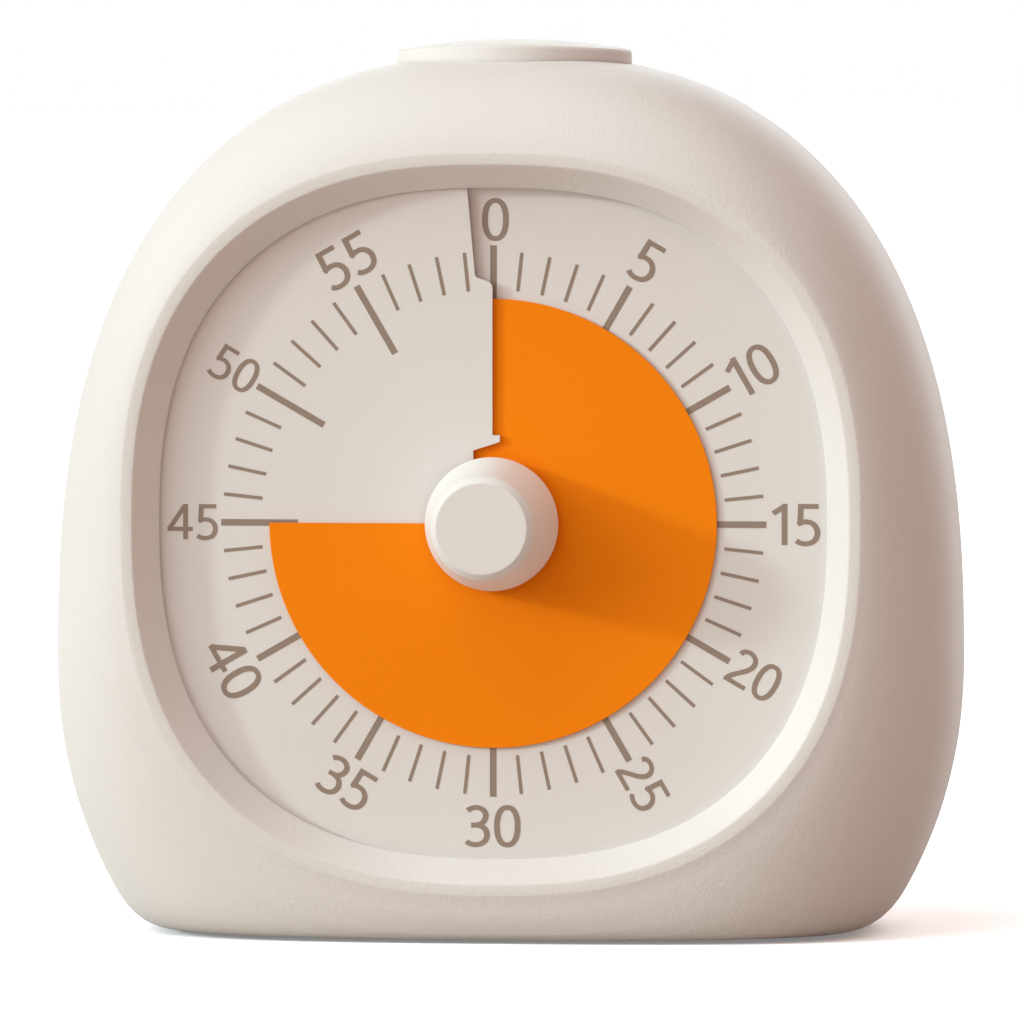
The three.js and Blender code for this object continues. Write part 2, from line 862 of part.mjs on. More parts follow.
// A round shaft section with a key flat, grown by a clearance.
function keyedShape(clearance) {
  const radius = spindleRadius + clearance;
  const flat = spindleFlat + clearance;
  const start = Math.asin(flat / radius);
  const shape = new THREE.Shape();
  shape.absarc(0, 0, radius, Math.PI - start, 2 * Math.PI + start);
  return shape;
}

function timeDisc() {
  const sheet = climbingSheet(
    (spindleRadius + sleeveRadius) / 2,
    () => discRadius,
    discLeadAngle - 360 + discCutAngle,
    discLeadAngle,
    discGap,
    discSheet,
    discCount,
  );
  const sleeve = rod(sleeveRadius, [0, 0, -sleeveBack], [0, 0, sleeveFront], 32);
  const bore = plate(keyedShape(runningPlay), -sleeveBack - overrun, sleeveFront + overrun);
  return cut(join(sheet, sleeve), bore);
}

function spindle() {
  const back = movementBack + runningPlay;
  const front = knobFront - knobWall - runningPlay;
  const keyed = plate(keyedShape(0), -spindleFlatBack - play, front);
  const round = rod(spindleRadius, [0, 0, back], [0, 0, -spindleFlatBack]);
  const collarFront = platesBack - wheelStep - wheelThickness - clutchThickness - clutchDish;
  const collar = rod(
    collarRadius,
    [0, 0, collarFront - 3 * clutchGap - collarLength],
    [0, 0, collarFront - 3 * clutchGap],
  );
  return join(round, keyed, collar);
}

function knob() {
  const body = turned(
    [
      [0, knobBack],
      [knobBaseRadius - knobEdge, knobBack],
      [knobBaseRadius, knobBack + knobEdge],
      [knobShoulderRadius, knobFront - knobChamfer],
      [knobFaceRadius, knobFront],
      [0, knobFront],
    ],
    knobCount,
  );
  return body.subtract(
    plate(keyedShape(runningPlay), knobBack - overrun, knobFront - knobWall),
  );
}

function chassisPlate() {
  const front = rimBack - play;
  const base = plate(faceShape(-chassisOutset), chassisBack, chassisFront);
  const rim = plate(
    faceRing(-chassisOutset, chassisRimWidth - chassisOutset),
    chassisFront - embed,
    front,
  );
  const postRooms = dialPostSpots().map(([x, y]) =>
    rod(dialPostRadius + turnedPlay, [x, y, chassisFront], [x, y, front + overrun]),
  );
  const holes = dialPostSpots().map(([x, y]) =>
    rod(smallHoleRadius, [x, y, chassisBack - overrun], [x, y, front + overrun]),
  );
  const earPilots = [-1, 1].map((side) =>
    rod(
      smallShankRadius + pilotPlay,
      [side * earX, -earBelow, chassisBack - overrun],
      [side * earX, -earBelow, chassisFront + overrun],
    ),
  );
  const bushHole = rod(
    bushRadius + runningPlay,
    [0, 0, chassisBack - overrun],
    [0, 0, chassisFront + overrun],
  );
  return cut(join(base, rim), ...postRooms, ...holes, ...earPilots, bushHole);
}

function spindleBush() {
  return cut(
    rod(bushRadius, [0, 0, platesBack], [0, 0, chassisFront]),
    rod(
      spindleRadius + runningPlay,
      [0, 0, platesBack - overrun],
      [0, 0, chassisFront + overrun],
    ),
  );
}

// Movement pieces

const earX = movementHalfWidth + earReach / 2;

function clockwisePoint(distance, degrees) {
  const angle = THREE.MathUtils.degToRad(degrees);
  return [distance * Math.sin(angle), distance * Math.cos(angle)];
}

const idlerSpot = clockwisePoint(idlerDistance, idlerAngle);
const rotorStep = clockwisePoint(rotorDistance, rotorAngle);
const rotorSpot = [idlerSpot[0] + rotorStep[0], idlerSpot[1] + rotorStep[1]];

// Bearing holes of the two arbors that turn beside the spindle.
function arborHoles(low, high) {
  return [idlerSpot, rotorSpot].map(([x, y]) =>
    rod(arborRadius + runningPlay, [x, y, low], [x, y, high], 16),
  );
}

function movementBase() {
  const box = block(
    [-movementHalfWidth, -movementBelow, movementBack + movementWall + play],
    [movementHalfWidth, movementAbove, movementFront],
  );
  const room = block(
    [movementWall - movementHalfWidth, movementWall - movementBelow, movementBack],
    [movementHalfWidth - movementWall, movementAbove - movementWall, platesBack],
  );
  const ears = block(
    [-movementHalfWidth - earReach, -earBelow - earHalfHeight, platesBack],
    [movementHalfWidth + earReach, -earBelow + earHalfHeight, movementFront],
  );
  const earHoles = [-1, 1].map((side) =>
    rod(
      smallHoleRadius,
      [side * earX, -earBelow, platesBack - overrun],
      [side * earX, -earBelow, movementFront + overrun],
    ),
  );
  const bushHole = rod(
    bushRadius + runningPlay,
    [0, 0, platesBack - overrun],
    [0, 0, movementFront + overrun],
  );
  const holes = arborHoles(platesBack - overrun, movementFront + overrun);
  return cut(join(cut(box, room), ears), ...earHoles, bushHole, ...holes);
}

function movementCover() {
  const lid = block(
    [-movementHalfWidth, -movementBelow, movementBack],
    [movementHalfWidth, movementAbove, movementBack + movementWall],
  );
  const posts = [-1, 1].map((side) =>
    rod(
      boardPostRadius,
      [side * boardPostX, boardMiddle, movementBack - boardStandoff - boardThickness - play],
      [side * boardPostX, boardMiddle, movementBack + embed],
    ),
  );
  const shoulders = [-1, 1].map((side) =>
    rod(
      boardPostRadius + embed,
      [side * boardPostX, boardMiddle, movementBack - boardStandoff + play],
      [side * boardPostX, boardMiddle, movementBack + embed],
    ),
  );
  const spindleHole = rod(
    spindleRadius + runningPlay,
    [0, 0, movementBack - overrun],
    [0, 0, movementBack + movementWall + overrun],
  );
  const holes = arborHoles(movementBack - overrun, movementBack + movementWall + overrun);
  return cut(join(lid, ...posts, ...shoulders), spindleHole, ...holes);
}

// A gear outline with straight-sided teeth, the first one centred on an angle clockwise from up.
function gearShape(teeth, module, firstAngle) {
  const pitch = (module * teeth) / 2;
  const tip = pitch + addendumShare * module;
  const root = pitch - dedendumShare * module;
  const step = (2 * Math.PI) / teeth;
  const points = [];
  for (let k = 0; k < teeth; k++) {
    const middle = firstAngle + k * step;
    const corners = [
      [root, -toothRootShare],
      [tip, -toothTipShare],
      [tip, toothTipShare],
      [root, toothRootShare],
    ];
    for (const [radius, share] of corners) {
      const angle = middle + share * step;
      points.push([radius * Math.sin(angle), radius * Math.cos(angle)]);
    }
  }
  return polygon(points);
}

const wheelFront = platesBack - wheelStep;

function minuteWheel() {
  const outline = gearShape(
    minuteTeeth,
    minuteModule,
    THREE.MathUtils.degToRad(idlerAngle),
  );
  const wheel = plate(outline, wheelFront - wheelThickness, wheelFront);
  const bore = rod(
    spindleRadius + runningPlay,
    [0, 0, wheelFront - wheelThickness - overrun],
    [0, 0, wheelFront + overrun],
  );
  return wheel.subtract(bore);
}

// A dished washer that presses the wheel against the spindle's collar, so that it can slip.
function clutchSpring() {
  const top = wheelFront - wheelThickness - clutchGap;
  const inner = spindleRadius + runningPlay;
  return turned(
    [
      [inner, top - clutchDish - clutchThickness],
      [clutchRadius, top - clutchThickness],
      [clutchRadius, top],
      [inner, top - clutchDish],
      [inner, top - clutchDish - clutchThickness],
    ],
    24,
  );
}

function idlerWheel() {
  const pinionTurn = THREE.MathUtils.degToRad(idlerAngle + 180) + Math.PI / idlerPinionTeeth;
  const pinionMiddle = wheelFront - wheelThickness / 2;
  const pinion = plate(
    gearShape(idlerPinionTeeth, minuteModule, pinionTurn),
    pinionMiddle - pinionThickness / 2,
    pinionMiddle + pinionThickness / 2,
  );
  const wheelTop = platesBack - idlerWheelBack + idlerWheelThickness;
  const wheel = plate(
    gearShape(idlerTeeth, idlerModule, THREE.MathUtils.degToRad(rotorAngle)),
    wheelTop - idlerWheelThickness,
    wheelTop,
  );
  return join(pinion, wheel, arbor());
}

function arbor() {
  return rod(arborRadius, [0, 0, movementBack + play], [0, 0, movementFront - play], 16);
}

function rotor() {
  const pinionTurn = THREE.MathUtils.degToRad(rotorAngle + 180) + Math.PI / rotorPinionTeeth;
  const wheelMiddle = platesBack - idlerWheelBack + idlerWheelThickness / 2;
  const pinion = plate(
    gearShape(rotorPinionTeeth, idlerModule, pinionTurn),
    wheelMiddle - pinionThickness / 2,
    wheelMiddle + pinionThickness / 2,
  );
  const magnetFront = platesBack - magnetBack;
  const magnet = rod(magnetRadius, [0, 0, magnetFront - magnetThickness], [0, 0, magnetFront]);
  return join(pinion, magnet, arbor());
}

const statorMiddle = platesBack - magnetBack - magnetThickness / 2;
const statorHalfWidth = movementHalfWidth - movementWall - statorMargin;
const coilBelow = coilDrop - rotorSpot[1]; // under the spindle, like the next two
const statorEnd = coilBelow + statorFoot;
const movementBelow = statorEnd + statorFootGap + movementWall;

// A flat plate with two arms for the coil's core. The idler's arbor passes through a notch.
function stator() {
  const [x, y] = rotorSpot;
  const top = y + magnetRadius + statorPlay + statorNeck;
  const yoke = statorGap - coilBelow;
  const outline = polygon([
    [-statorHalfWidth, top],
    [statorHalfWidth, top],
    [statorHalfWidth, -statorEnd],
    [statorHalfWidth - statorArm, -statorEnd],
    [statorHalfWidth - statorArm, yoke],
    [statorArm - statorHalfWidth, yoke],
    [statorArm - statorHalfWidth, -statorEnd],
    [-statorHalfWidth, -statorEnd],
  ]);
  const notch = arborRadius + turnedPlay;
  return cut(
    plate(outline, statorMiddle - statorThickness / 2, statorMiddle + statorThickness / 2),
    rod(magnetRadius + statorPlay, [x, y, movementBack], [x, y, platesBack]),
    rod(notch, [...idlerSpot, movementBack], [...idlerSpot, platesBack]),
  );
}

function coil() {
  const half = statorHalfWidth - statorArm - turnedPlay;
  const height = statorMiddle + statorThickness / 2 + turnedPlay + coreThickness / 2;
  const at = (x) => [x, -coilBelow, height];
  const winding = rod(coilRadius, at(-half), at(half));
  const flanges = [-1, 1].map((side) =>
    rod(coilFlangeRadius, at(side * (half - coilFlange)), at(side * half)),
  );
  const core = block(
    [-statorHalfWidth, -coilBelow - coreWidth / 2, height - coreThickness / 2],
    [statorHalfWidth, -coilBelow + coreWidth / 2, height + coreThickness / 2],
  );
  return join(winding, ...flanges, core);
}

// Electronics, in the casing's frame

const boardMiddle = (movementAbove - movementBelow) / 2;
const boardZ = dialHeight + boardMiddle;

function circuitBoard() {
  const board = block(
    [-boardWidth / 2, boardFrontY, boardZ - boardHeight / 2],
    [boardWidth / 2, boardFrontY + boardThickness, boardZ + boardHeight / 2],
  );
  const holes = [-1, 1].map((side) =>
    rod(
      boardPostRadius + turnedPlay,
      [side * boardPostX, boardFrontY - overrun, boardZ],
      [side * boardPostX, boardFrontY + boardThickness + overrun, boardZ],
    ),
  );
  return cut(board, ...holes);
}

const boardBackY = boardFrontY + boardThickness;

function controlChip() {
  return block(
    [chipX - chipWidth / 2, boardBackY + play, boardZ - chipHeight / 2],
    [chipX + chipWidth / 2, boardBackY + play + chipThickness, boardZ + chipHeight / 2],
  );
}

function quartzCrystal() {
  const y = boardBackY + play + crystalRadius;
  return rod(
    crystalRadius,
    [crystalX, y, boardZ - crystalLength / 2],
    [crystalX, y, boardZ + crystalLength / 2],
    16,
  );
}

function buzzer() {
  const y = innerBackY - play;
  return rod(
    buzzerRadius,
    [-soundX, y - buzzerThickness, soundZ],
    [-soundX, y, soundZ],
    32,
  );
}

const switchCaseMiddle = soundX + sliderTravel / 2;

function soundSwitchCase() {
  const y = innerBackY - play;
  const body = block(
    [switchCaseMiddle - switchCaseWidth / 2, y - switchCaseDepth, soundZ - switchCaseHeight / 2],
    [switchCaseMiddle + switchCaseWidth / 2, y, soundZ + switchCaseHeight / 2],
  );
  const groove = block(
    [
      soundX - sliderStem / 2 - slidePlay,
      y - sliderStemDepth - slidePlay,
      soundZ - sliderStem / 2 - slidePlay,
    ],
    [
      soundX + sliderStem / 2 + sliderTravel + slidePlay,
      y + overrun,
      soundZ + sliderStem / 2 + slidePlay,
    ],
  );
  return body.subtract(groove);
}

function soundSlider() {
  const cap = block(
    [soundX - sliderWidth / 2, innerBackY + play, soundZ - sliderHeight / 2],
    [soundX + sliderWidth / 2, backDepth, soundZ + sliderHeight / 2],
  );
  const stem = block(
    [soundX - sliderStem / 2, innerBackY - sliderStemDepth, soundZ - sliderStem / 2],
    [soundX + sliderStem / 2, innerBackY + embed, soundZ + sliderStem / 2],
  );
  return cap.add(stem);
}

// Battery pieces

const batteryStart = -trayHalfLength + play + minusSpringLength + play;

function battery() {
  const end = batteryStart + batteryLength;
  return join(
    rod(batteryRadius, [batteryStart, batteryY, batteryZ], [end, batteryY, batteryZ], 40),
    rod(
      batteryNubRadius,
      [end - embed, batteryY, batteryZ],
      [end + batteryNubLength, batteryY, batteryZ],
    ),
  );
}

function plusContact() {
  const x = trayHalfLength - play;
  return block(
    [x - contactThickness, batteryY - contactWidth / 2, batteryZ - contactWidth / 2],
    [x, batteryY + contactWidth / 2, batteryZ + contactWidth / 2],
  );
}

class Helix extends THREE.Curve {
  constructor(radius, length, turns) {
    super();
    this.radius = radius;
    this.length = length;
    this.turns = turns;
  }

  getPoint(share, target = new THREE.Vector3()) {
    const angle = 2 * Math.PI * this.turns * share;
    return target.set(
      this.radius * Math.cos(angle),
      this.radius * Math.sin(angle),
      this.length * share,
    );
  }
}

// A wound spring that stands on z = 0.
function coilSpring(radius, length, turns, wire) {
  const path = new Helix(radius, length - wire, turns);
  const section = new THREE.Shape();
  section.absarc(0, 0, wire / 2, 0, 2 * Math.PI);
  const geometry = new THREE.ExtrudeGeometry(section, {
    steps: springStepCount * turns,
    extrudePath: path,
    curveSegments: springHalfSides,
    bevelEnabled: false,
  });
  return geometry.translate(0, 0, wire / 2);
}

// Top button pieces

function buttonSurface(x, y) {
  const across = x / buttonRadius;
  const along = y / buttonRadius;
  return buttonTop - buttonSideDrop * across ** 2 - buttonFrontDrop * along ** 2;
}

function topButton() {
  const ring = (radius, height) =>
    Array.from({ length: buttonCount }, (_, k) => {
      const angle = (2 * Math.PI * k) / buttonCount;
      const x = radius * Math.cos(angle);
      const y = radius * Math.sin(angle);
      return new THREE.Vector3(x, y + buttonY, height(x, y));
    });
  const low = buttonFlangeTop - buttonFlange;
  const cap = loft([
    ring(buttonFlangeRadius, () => low),
    ring(buttonFlangeRadius, () => buttonFlangeTop),
    ring(buttonRadius, () => buttonFlangeTop),
    ring(buttonRadius, (x, y) => buttonSurface(x, y) - buttonEdge),
    ring(buttonRadius - buttonEdge / 3, (x, y) => buttonSurface(x, y) - buttonEdge / 3),
    ring(buttonRadius - buttonEdge, buttonSurface),
    ...buttonRingShares.map((share) => ring(share * buttonRadius, buttonSurface)),
  ]);
  const ceiling = springTop();
  const hollow = rod(
    buttonRadius - buttonShell,
    [0, buttonY, low - overrun],
    [0, buttonY, ceiling],
    buttonCount,
  );
  const stem = rod(stemRadius, [0, buttonY, stemEnd], [0, buttonY, ceiling + embed]);
  return join(cut(cap, hollow), stem);
}

function springTop() {
  return buttonTop - buttonSideDrop - buttonShell;
}

function switchBoard() {
  return block(
    [-switchBoardWidth / 2, buttonY - switchBoardDepth / 2, switchBoardTop - switchBoardThickness],
    [switchBoardWidth / 2, buttonY + switchBoardDepth / 2, switchBoardTop],
  );
}

function pressSwitch() {
  return block(
    [-switchSize / 2, buttonY - switchSize / 2, switchBoardTop + play],
    [switchSize / 2, buttonY + switchSize / 2, switchBoardTop + play + switchHeight],
  );
}

const bracketTop = switchBoardTop - switchBoardThickness - play;

function buttonBracket() {
  const bar = block(
    [-bracketHalfWidth, buttonY - bracketDepth / 2, bracketTop - bracketThickness],
    [bracketHalfWidth, buttonY + bracketDepth / 2, bracketTop],
  );
  const risers = [-1, 1].map((side) =>
    rod(
      bracketPostRadius,
      [side * bracketPostX, buttonY, bracketTop - bracketThickness],
      [side * bracketPostX, buttonY, switchBoardTop - play],
    ),
  );
  const holes = [-1, 1].map((side) =>
    rod(
      smallHoleRadius,
      [side * bracketPostX, buttonY, bracketTop - bracketThickness - overrun],
      [side * bracketPostX, buttonY, switchBoardTop + overrun],
    ),
  );
  return cut(join(bar, ...risers), ...holes);
}

// A pan-head screw with a cross recess: its head's underside is at z = 0, its shank below.
function screw(headRadius, headHeight, shankRadius, shankLength) {
  const body = turned(
    [
      [0, -shankLength],
      [shankRadius / 2, -shankLength],
      [shankRadius, shankRadius - shankLength],
      [shankRadius, 0],
      [headRadius, 0],
      [headRadius, headHeight / 2],
      [headRadius - headHeight / 3, headHeight],
      [0, headHeight],
    ],
    screwCount,
  );
  const long = (headRadius * driveShare) / 2;
  const recess = (halfX, halfY) =>
    block([-halfX, -halfY, headHeight - driveDepth], [halfX, halfY, headHeight + overrun]);
  return cut(body, recess(long, driveWidth / 2), recess(driveWidth / 2, long));
}

// Materials

const finishes = {
  shell: { color: 0xe9e4df, roughness: 0.62, metalness: 0 },
  dial: { color: 0xddd4cc, roughness: 0.7, metalness: 0 },
  disc: { color: 0xf58010, roughness: 0.5, metalness: 0 },
  knob: { color: 0xe8e3de, roughness: 0.5, metalness: 0 },
  chassis: { color: 0xb9b4ad, roughness: 0.6, metalness: 0 },
  movement: { color: 0x2b2b2d, roughness: 0.5, metalness: 0 },
  gear: { color: 0xf0ead8, roughness: 0.4, metalness: 0 },
  rubber: { color: 0x55504b, roughness: 0.9, metalness: 0 },
  steel: { color: 0xb9bbbd, roughness: 0.35, metalness: 1 },
  brass: { color: 0xc9a45c, roughness: 0.35, metalness: 1 },
  copper: { color: 0xb4683a, roughness: 0.45, metalness: 0.8 },
  board: { color: 0x2f6b45, roughness: 0.5, metalness: 0 },
  battery: { color: 0x8d9298, roughness: 0.4, metalness: 0.3 },
};

function piece(name, shape, finish) {
  const geometry = shape.isBufferGeometry ? shape : geometryOf(shape);
  const mesh = new THREE.Mesh(geometry, new THREE.MeshStandardMaterial(finishes[finish]));
  mesh.name = name;
  return mesh;
}

// Assembly

const timer = new THREE.Group();

const casing = new THREE.Group();
casing.add(
  piece("front_shell", frontShell(), "shell"),
  piece("rear_cover", rearCover(), "shell"),
  piece("battery_door", batteryDoor(), "shell"),
  piece("base_pad", basePad(), "rubber"),
);
timer.add(casing);

// The dial stack looks forward: its Z runs towards the viewer.
const dialStack = new THREE.Group();
dialStack.position.set(0, lowDialY, dialHeight);
dialStack.rotation.x = Math.PI / 2;
dialStack.add(
  piece("dial_plate", dialPlate(), "dial"),
  piece("time_disc", timeDisc(), "disc"),
  piece("knob", knob(), "knob"),
  piece("spindle", spindle(), "steel"),
  piece("spindle_bush", spindleBush(), "brass"),
  piece("chassis_plate", chassisPlate(), "chassis"),
  piece("movement_base", movementBase(), "movement"),
  piece("movement_cover", movementCover(), "movement"),
  piece("minute_wheel", minuteWheel(), "gear"),
  piece("clutch_spring", clutchSpring(), "brass"),
  piece("stator", stator(), "steel"),
  piece("coil", coil(), "copper"),
);
timer.add(dialStack);

const idler = piece("idler_wheel", idlerWheel(), "gear");
idler.position.set(...idlerSpot, 0);
const magnetRotor = piece("rotor", rotor(), "steel");
magnetRotor.position.set(...rotorSpot, 0);
dialStack.add(idler, magnetRotor);

// Screws of the dial stack, driven from behind.
const chassisShank = chassisThickness + play + smallHeadHeight;
dialPostSpots().forEach(([x, y], k) => {
  const shape = screw(smallHeadRadius, smallHeadHeight, smallShankRadius, chassisShank);
  const mesh = piece(`chassis_screw_${k + 1}`, shape, "steel");
  mesh.position.set(x, y, chassisBack - play);
  mesh.rotation.x = Math.PI;
  dialStack.add(mesh);
});
[-1, 1].forEach((side, k) => {
  const shank = movementWall + chassisThickness;
  const shape = screw(smallHeadRadius, smallHeadHeight, smallShankRadius, shank);
  const mesh = piece(`movement_screw_${k + 1}`, shape, "steel");
  mesh.position.set(side * earX, -earBelow, platesBack - play);
  mesh.rotation.x = Math.PI;
  dialStack.add(mesh);
});

const electronics = new THREE.Group();
electronics.add(
  piece("circuit_board", circuitBoard(), "board"),
  piece("control_chip", controlChip(), "movement"),
  piece("quartz_crystal", quartzCrystal(), "steel"),
  piece("buzzer", buzzer(), "movement"),
  piece("sound_switch_case", soundSwitchCase(), "movement"),
  piece("sound_slider", soundSlider(), "chassis"),
);
timer.add(electronics);

const power = new THREE.Group();
const minusSpring = piece(
  "battery_spring",
  coilSpring(minusSpringRadius, minusSpringLength, minusSpringTurns, springWire),
  "steel",
);
minusSpring.rotation.y = Math.PI / 2;
minusSpring.position.set(-trayHalfLength + play, batteryY, batteryZ);
power.add(
  piece("battery", battery(), "battery"),
  piece("battery_contact", plusContact(), "steel"),
  minusSpring,
);
timer.add(power);

const buttonGroup = new THREE.Group();
const springBottom = switchBoardTop + play;
const buttonSpring = piece(
  "button_spring",
  coilSpring(springRadius, springTop() - play - springBottom, springTurns, springWire),
  "steel",
);
buttonSpring.position.set(0, buttonY, springBottom);
buttonGroup.add(
  piece("top_button", topButton(), "shell"),
  piece("button_bracket", buttonBracket(), "chassis"),
  piece("switch_board", switchBoard(), "board"),
  piece("press_switch", pressSwitch(), "movement"),
  buttonSpring,
);
[-1, 1].forEach((side, k) => {
  const shank = bracketThickness + smallHeadHeight + bracketPostRadius;
  const shape = screw(smallHeadRadius, smallHeadHeight, smallShankRadius, shank);
  const mesh = piece(`bracket_screw_${k + 1}`, shape, "steel");
  mesh.position.set(side * bracketPostX, buttonY, bracketTop - bracketThickness - play);
  mesh.rotation.x = Math.PI;
  buttonGroup.add(mesh);
});
timer.add(buttonGroup);

// Case screws sit deep in the rear cover's posts.
casePosts.forEach(([x, z], k) => {
  const shape = screw(caseHeadRadius, caseHeadHeight, caseShankRadius, caseShankLength);
  const mesh = piece(`case_screw_${k + 1}`, shape, "steel");
  mesh.position.set(x, postEndY + postFloor + play, z);
  mesh.rotation.x = -Math.PI / 2;
  timer.add(mesh);
});

export default timer;
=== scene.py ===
import math

import bmesh
import bpy
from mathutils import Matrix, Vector


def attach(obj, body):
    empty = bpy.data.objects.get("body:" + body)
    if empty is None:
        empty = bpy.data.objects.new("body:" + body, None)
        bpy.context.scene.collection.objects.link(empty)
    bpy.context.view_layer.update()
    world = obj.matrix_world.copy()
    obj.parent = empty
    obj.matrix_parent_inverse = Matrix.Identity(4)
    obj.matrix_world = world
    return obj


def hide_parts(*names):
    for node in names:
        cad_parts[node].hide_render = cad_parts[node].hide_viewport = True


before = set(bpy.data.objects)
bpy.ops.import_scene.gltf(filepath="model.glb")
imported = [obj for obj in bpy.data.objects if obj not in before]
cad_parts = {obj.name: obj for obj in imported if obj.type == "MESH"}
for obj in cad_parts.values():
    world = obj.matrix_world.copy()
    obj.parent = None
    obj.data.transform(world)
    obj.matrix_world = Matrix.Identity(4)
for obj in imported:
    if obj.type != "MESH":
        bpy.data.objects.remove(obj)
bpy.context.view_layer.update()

# Camera: almost square on to the dial, a little to its right and a little above it.
# A long lens far away keeps the casing's outline nearly free of perspective.
view_turn, view_rise = math.radians(5.9), math.radians(2.7)
view_distance = 1.3
view_target = Vector((-0.0001, 0, 0.0439))
view_back = Vector((
    math.sin(view_turn) * math.cos(view_rise),
    -math.cos(view_turn) * math.cos(view_rise),
    math.sin(view_rise),
))
camera = bpy.data.objects.new("camera", bpy.data.cameras.new("camera"))
camera.data.lens = 433
camera.data.sensor_width = 36
camera.data.clip_start, camera.data.clip_end = 0.05, 20
camera.location = view_target + view_back * view_distance
camera.rotation_euler = (-view_back).to_track_quat("-Z", "Y").to_euler()
bpy.context.collection.objects.link(camera)
bpy.context.scene.camera = camera
bpy.context.scene.view_settings.view_transform = "Standard"


# Studio: a white floor and background under sun lamps, the key low on the left with a soft lamp
# beside it, a corner lamp high on the left, and others in front, on top and behind.
# The room's own light is warm, so the side away from the key lamp is warm too.
def lamp(name, towards, spread, strength, colour):
    """A sun lamp: the way to it, its spread in degrees, its strength and its colour."""
    light = bpy.data.lights.new(name, "SUN")
    light.angle, light.energy, light.color = math.radians(spread), strength, colour
    holder = bpy.data.objects.new(name, light)
    holder.rotation_euler = (-Vector(towards)).to_track_quat("-Z", "Y").to_euler()
    bpy.context.collection.objects.link(holder)


lamp("key_lamp", (-0.876, -0.398, 0.271), 5, 1.0, (0.87, 1, 1))
lamp("soft_lamp", (-0.75, -0.59, 0.3), 30, 0.98, (0.85, 1, 1))
lamp("corner_lamp", (-0.35, -0.35, 0.87), 50, 1.08, (0.7, 0.98, 1))
lamp("front_lamp", (-0.35, -1, 0.1), 45, 0.42, (1, 0.84, 0.77))
lamp("top_lamp", (0.5, -0.2, 1), 40, 0.45, (0.76, 0.95, 1))
lamp("back_lamp", (0.1, 1, 0.15), 40, 1.35, (0.78, 0.94, 1))


class Wire:
    """A shader socket that takes part in plain arithmetic."""

    def __init__(self, finish, socket):
        self.finish, self.socket = finish, socket

    def joined(self, operation, first, second):
        return self.finish.node("Math", {"operation": operation}, {0: first, 1: second})

    def __add__(self, other):
        return self.joined("ADD", self, other)

    def __sub__(self, other):
        return self.joined("SUBTRACT", self, other)

    def __rsub__(self, other):
        return self.joined("SUBTRACT", other, self)

    def __mul__(self, other):
        return self.joined("MULTIPLY", self, other)

    def __gt__(self, other):
        return self.joined("GREATER_THAN", self, other)

    __radd__ = __add__
    __rmul__ = __mul__


class Finish:
    """The nodes of one material, or of the air round the studio."""

    def __init__(self, name, kept_in=bpy.data.materials):
        self.material = kept_in.new(name)
        self.material.use_nodes = True
        self.tree = self.material.node_tree
        self.shader = self.tree.nodes.get("Principled BSDF")

    def fill(self, socket, value):
        if isinstance(value, Wire):
            self.tree.links.new(value.socket, socket)
        elif isinstance(value, tuple) and len(value) == 3 and socket.type == "RGBA":
            socket.default_value = (*value, 1)
        else:
            socket.default_value = value

    def node(self, kind, settings=None, inputs=None, output=0):
        made = self.tree.nodes.new("ShaderNode" + kind)
        for key, value in (settings or {}).items():
            setattr(made, key, value)
        for key, value in (inputs or {}).items():
            self.fill(made.inputs[key], value)
        return Wire(self, made.outputs[output]) if made.outputs else None

    def place(self):
        return self.node("TexCoord", output="Object")

    def tint(self, share, first, second):
        return self.node("Mix", {"data_type": "RGBA"}, {0: share, 6: first, 7: second}, 2)

    def noise(self, scale, detail=2, stretch=None):
        place = self.place()
        if stretch:
            place = self.node("Mapping", {}, {"Vector": place, "Scale": stretch})
        return self.node("TexNoise", {}, {"Vector": place, "Scale": scale, "Detail": detail})

    def seen(self):
        """1 for what the camera sees, straight, mirrored or through glass."""
        straight, mirrored, through = (
            self.node("LightPath", output=f"Is {kind} Ray")
            for kind in ("Camera", "Glossy", "Transmission")
        )
        return straight + mirrored + through

    def wear(self, base, roughness, metal=0, bump=None, depth=0.00002, **fixed):
        for name, value in (("Base Color", base), ("Roughness", roughness), ("Metallic", metal)):
            self.fill(self.shader.inputs[name], value)
        if bump:
            bumped = self.node("Bump", {}, {"Height": bump, "Distance": depth})
            self.fill(self.shader.inputs["Normal"], bumped)
        for name, value in fixed.items():
            self.fill(self.shader.inputs[name.replace("_", " ")], value)
        return self.material


def floor_finish():
    """White in sight, and a warm grey where it only lights the timer."""
    glow = 0.2
    f = Finish("studio_floor")
    f.tree.nodes.clear()
    lit = f.node("BsdfDiffuse", {}, {"Color": (1.9, 2.1, 2.25)})
    plain = f.node("BsdfDiffuse", {}, {"Color": (0.50, 0.44, 0.39)})
    white = f.node("Emission", {}, {"Color": (1, 1, 1)})
    shown = f.node("MixShader", {}, {0: glow, 1: lit, 2: white})
    surface = f.node("MixShader", {}, {0: f.seen(), 1: plain, 2: shown})
    f.node("OutputMaterial", {}, {"Surface": surface})
    return f.material


square = ((-1, -1), (1, -1), (1, 1), (-1, 1))


def studio_floor():
    half, drop = 6, 0.00005
    mesh = bpy.data.meshes.new("studio_floor")
    mesh.from_pydata([(i * half, j * half, -drop) for i, j in square], [], [(0, 1, 2, 3)])
    mesh.materials.append(floor_finish())
    ground = bpy.data.objects.new("studio_floor", mesh)
    bpy.context.collection.objects.link(ground)


studio_floor()


def studio_air():
    a = Finish("studio_air", bpy.data.worlds)
    a.tree.nodes.clear()
    warm = a.node("Background", {}, {"Color": (0.38, 0.17, 0.10)})
    white = a.node("Background", {}, {"Color": (1, 1, 1)})
    shown = a.node("MixShader", {}, {0: a.seen(), 1: warm, 2: white})
    a.node("OutputWorld", {}, {"Surface": shown})
    return a.material


bpy.context.scene.world = studio_air()


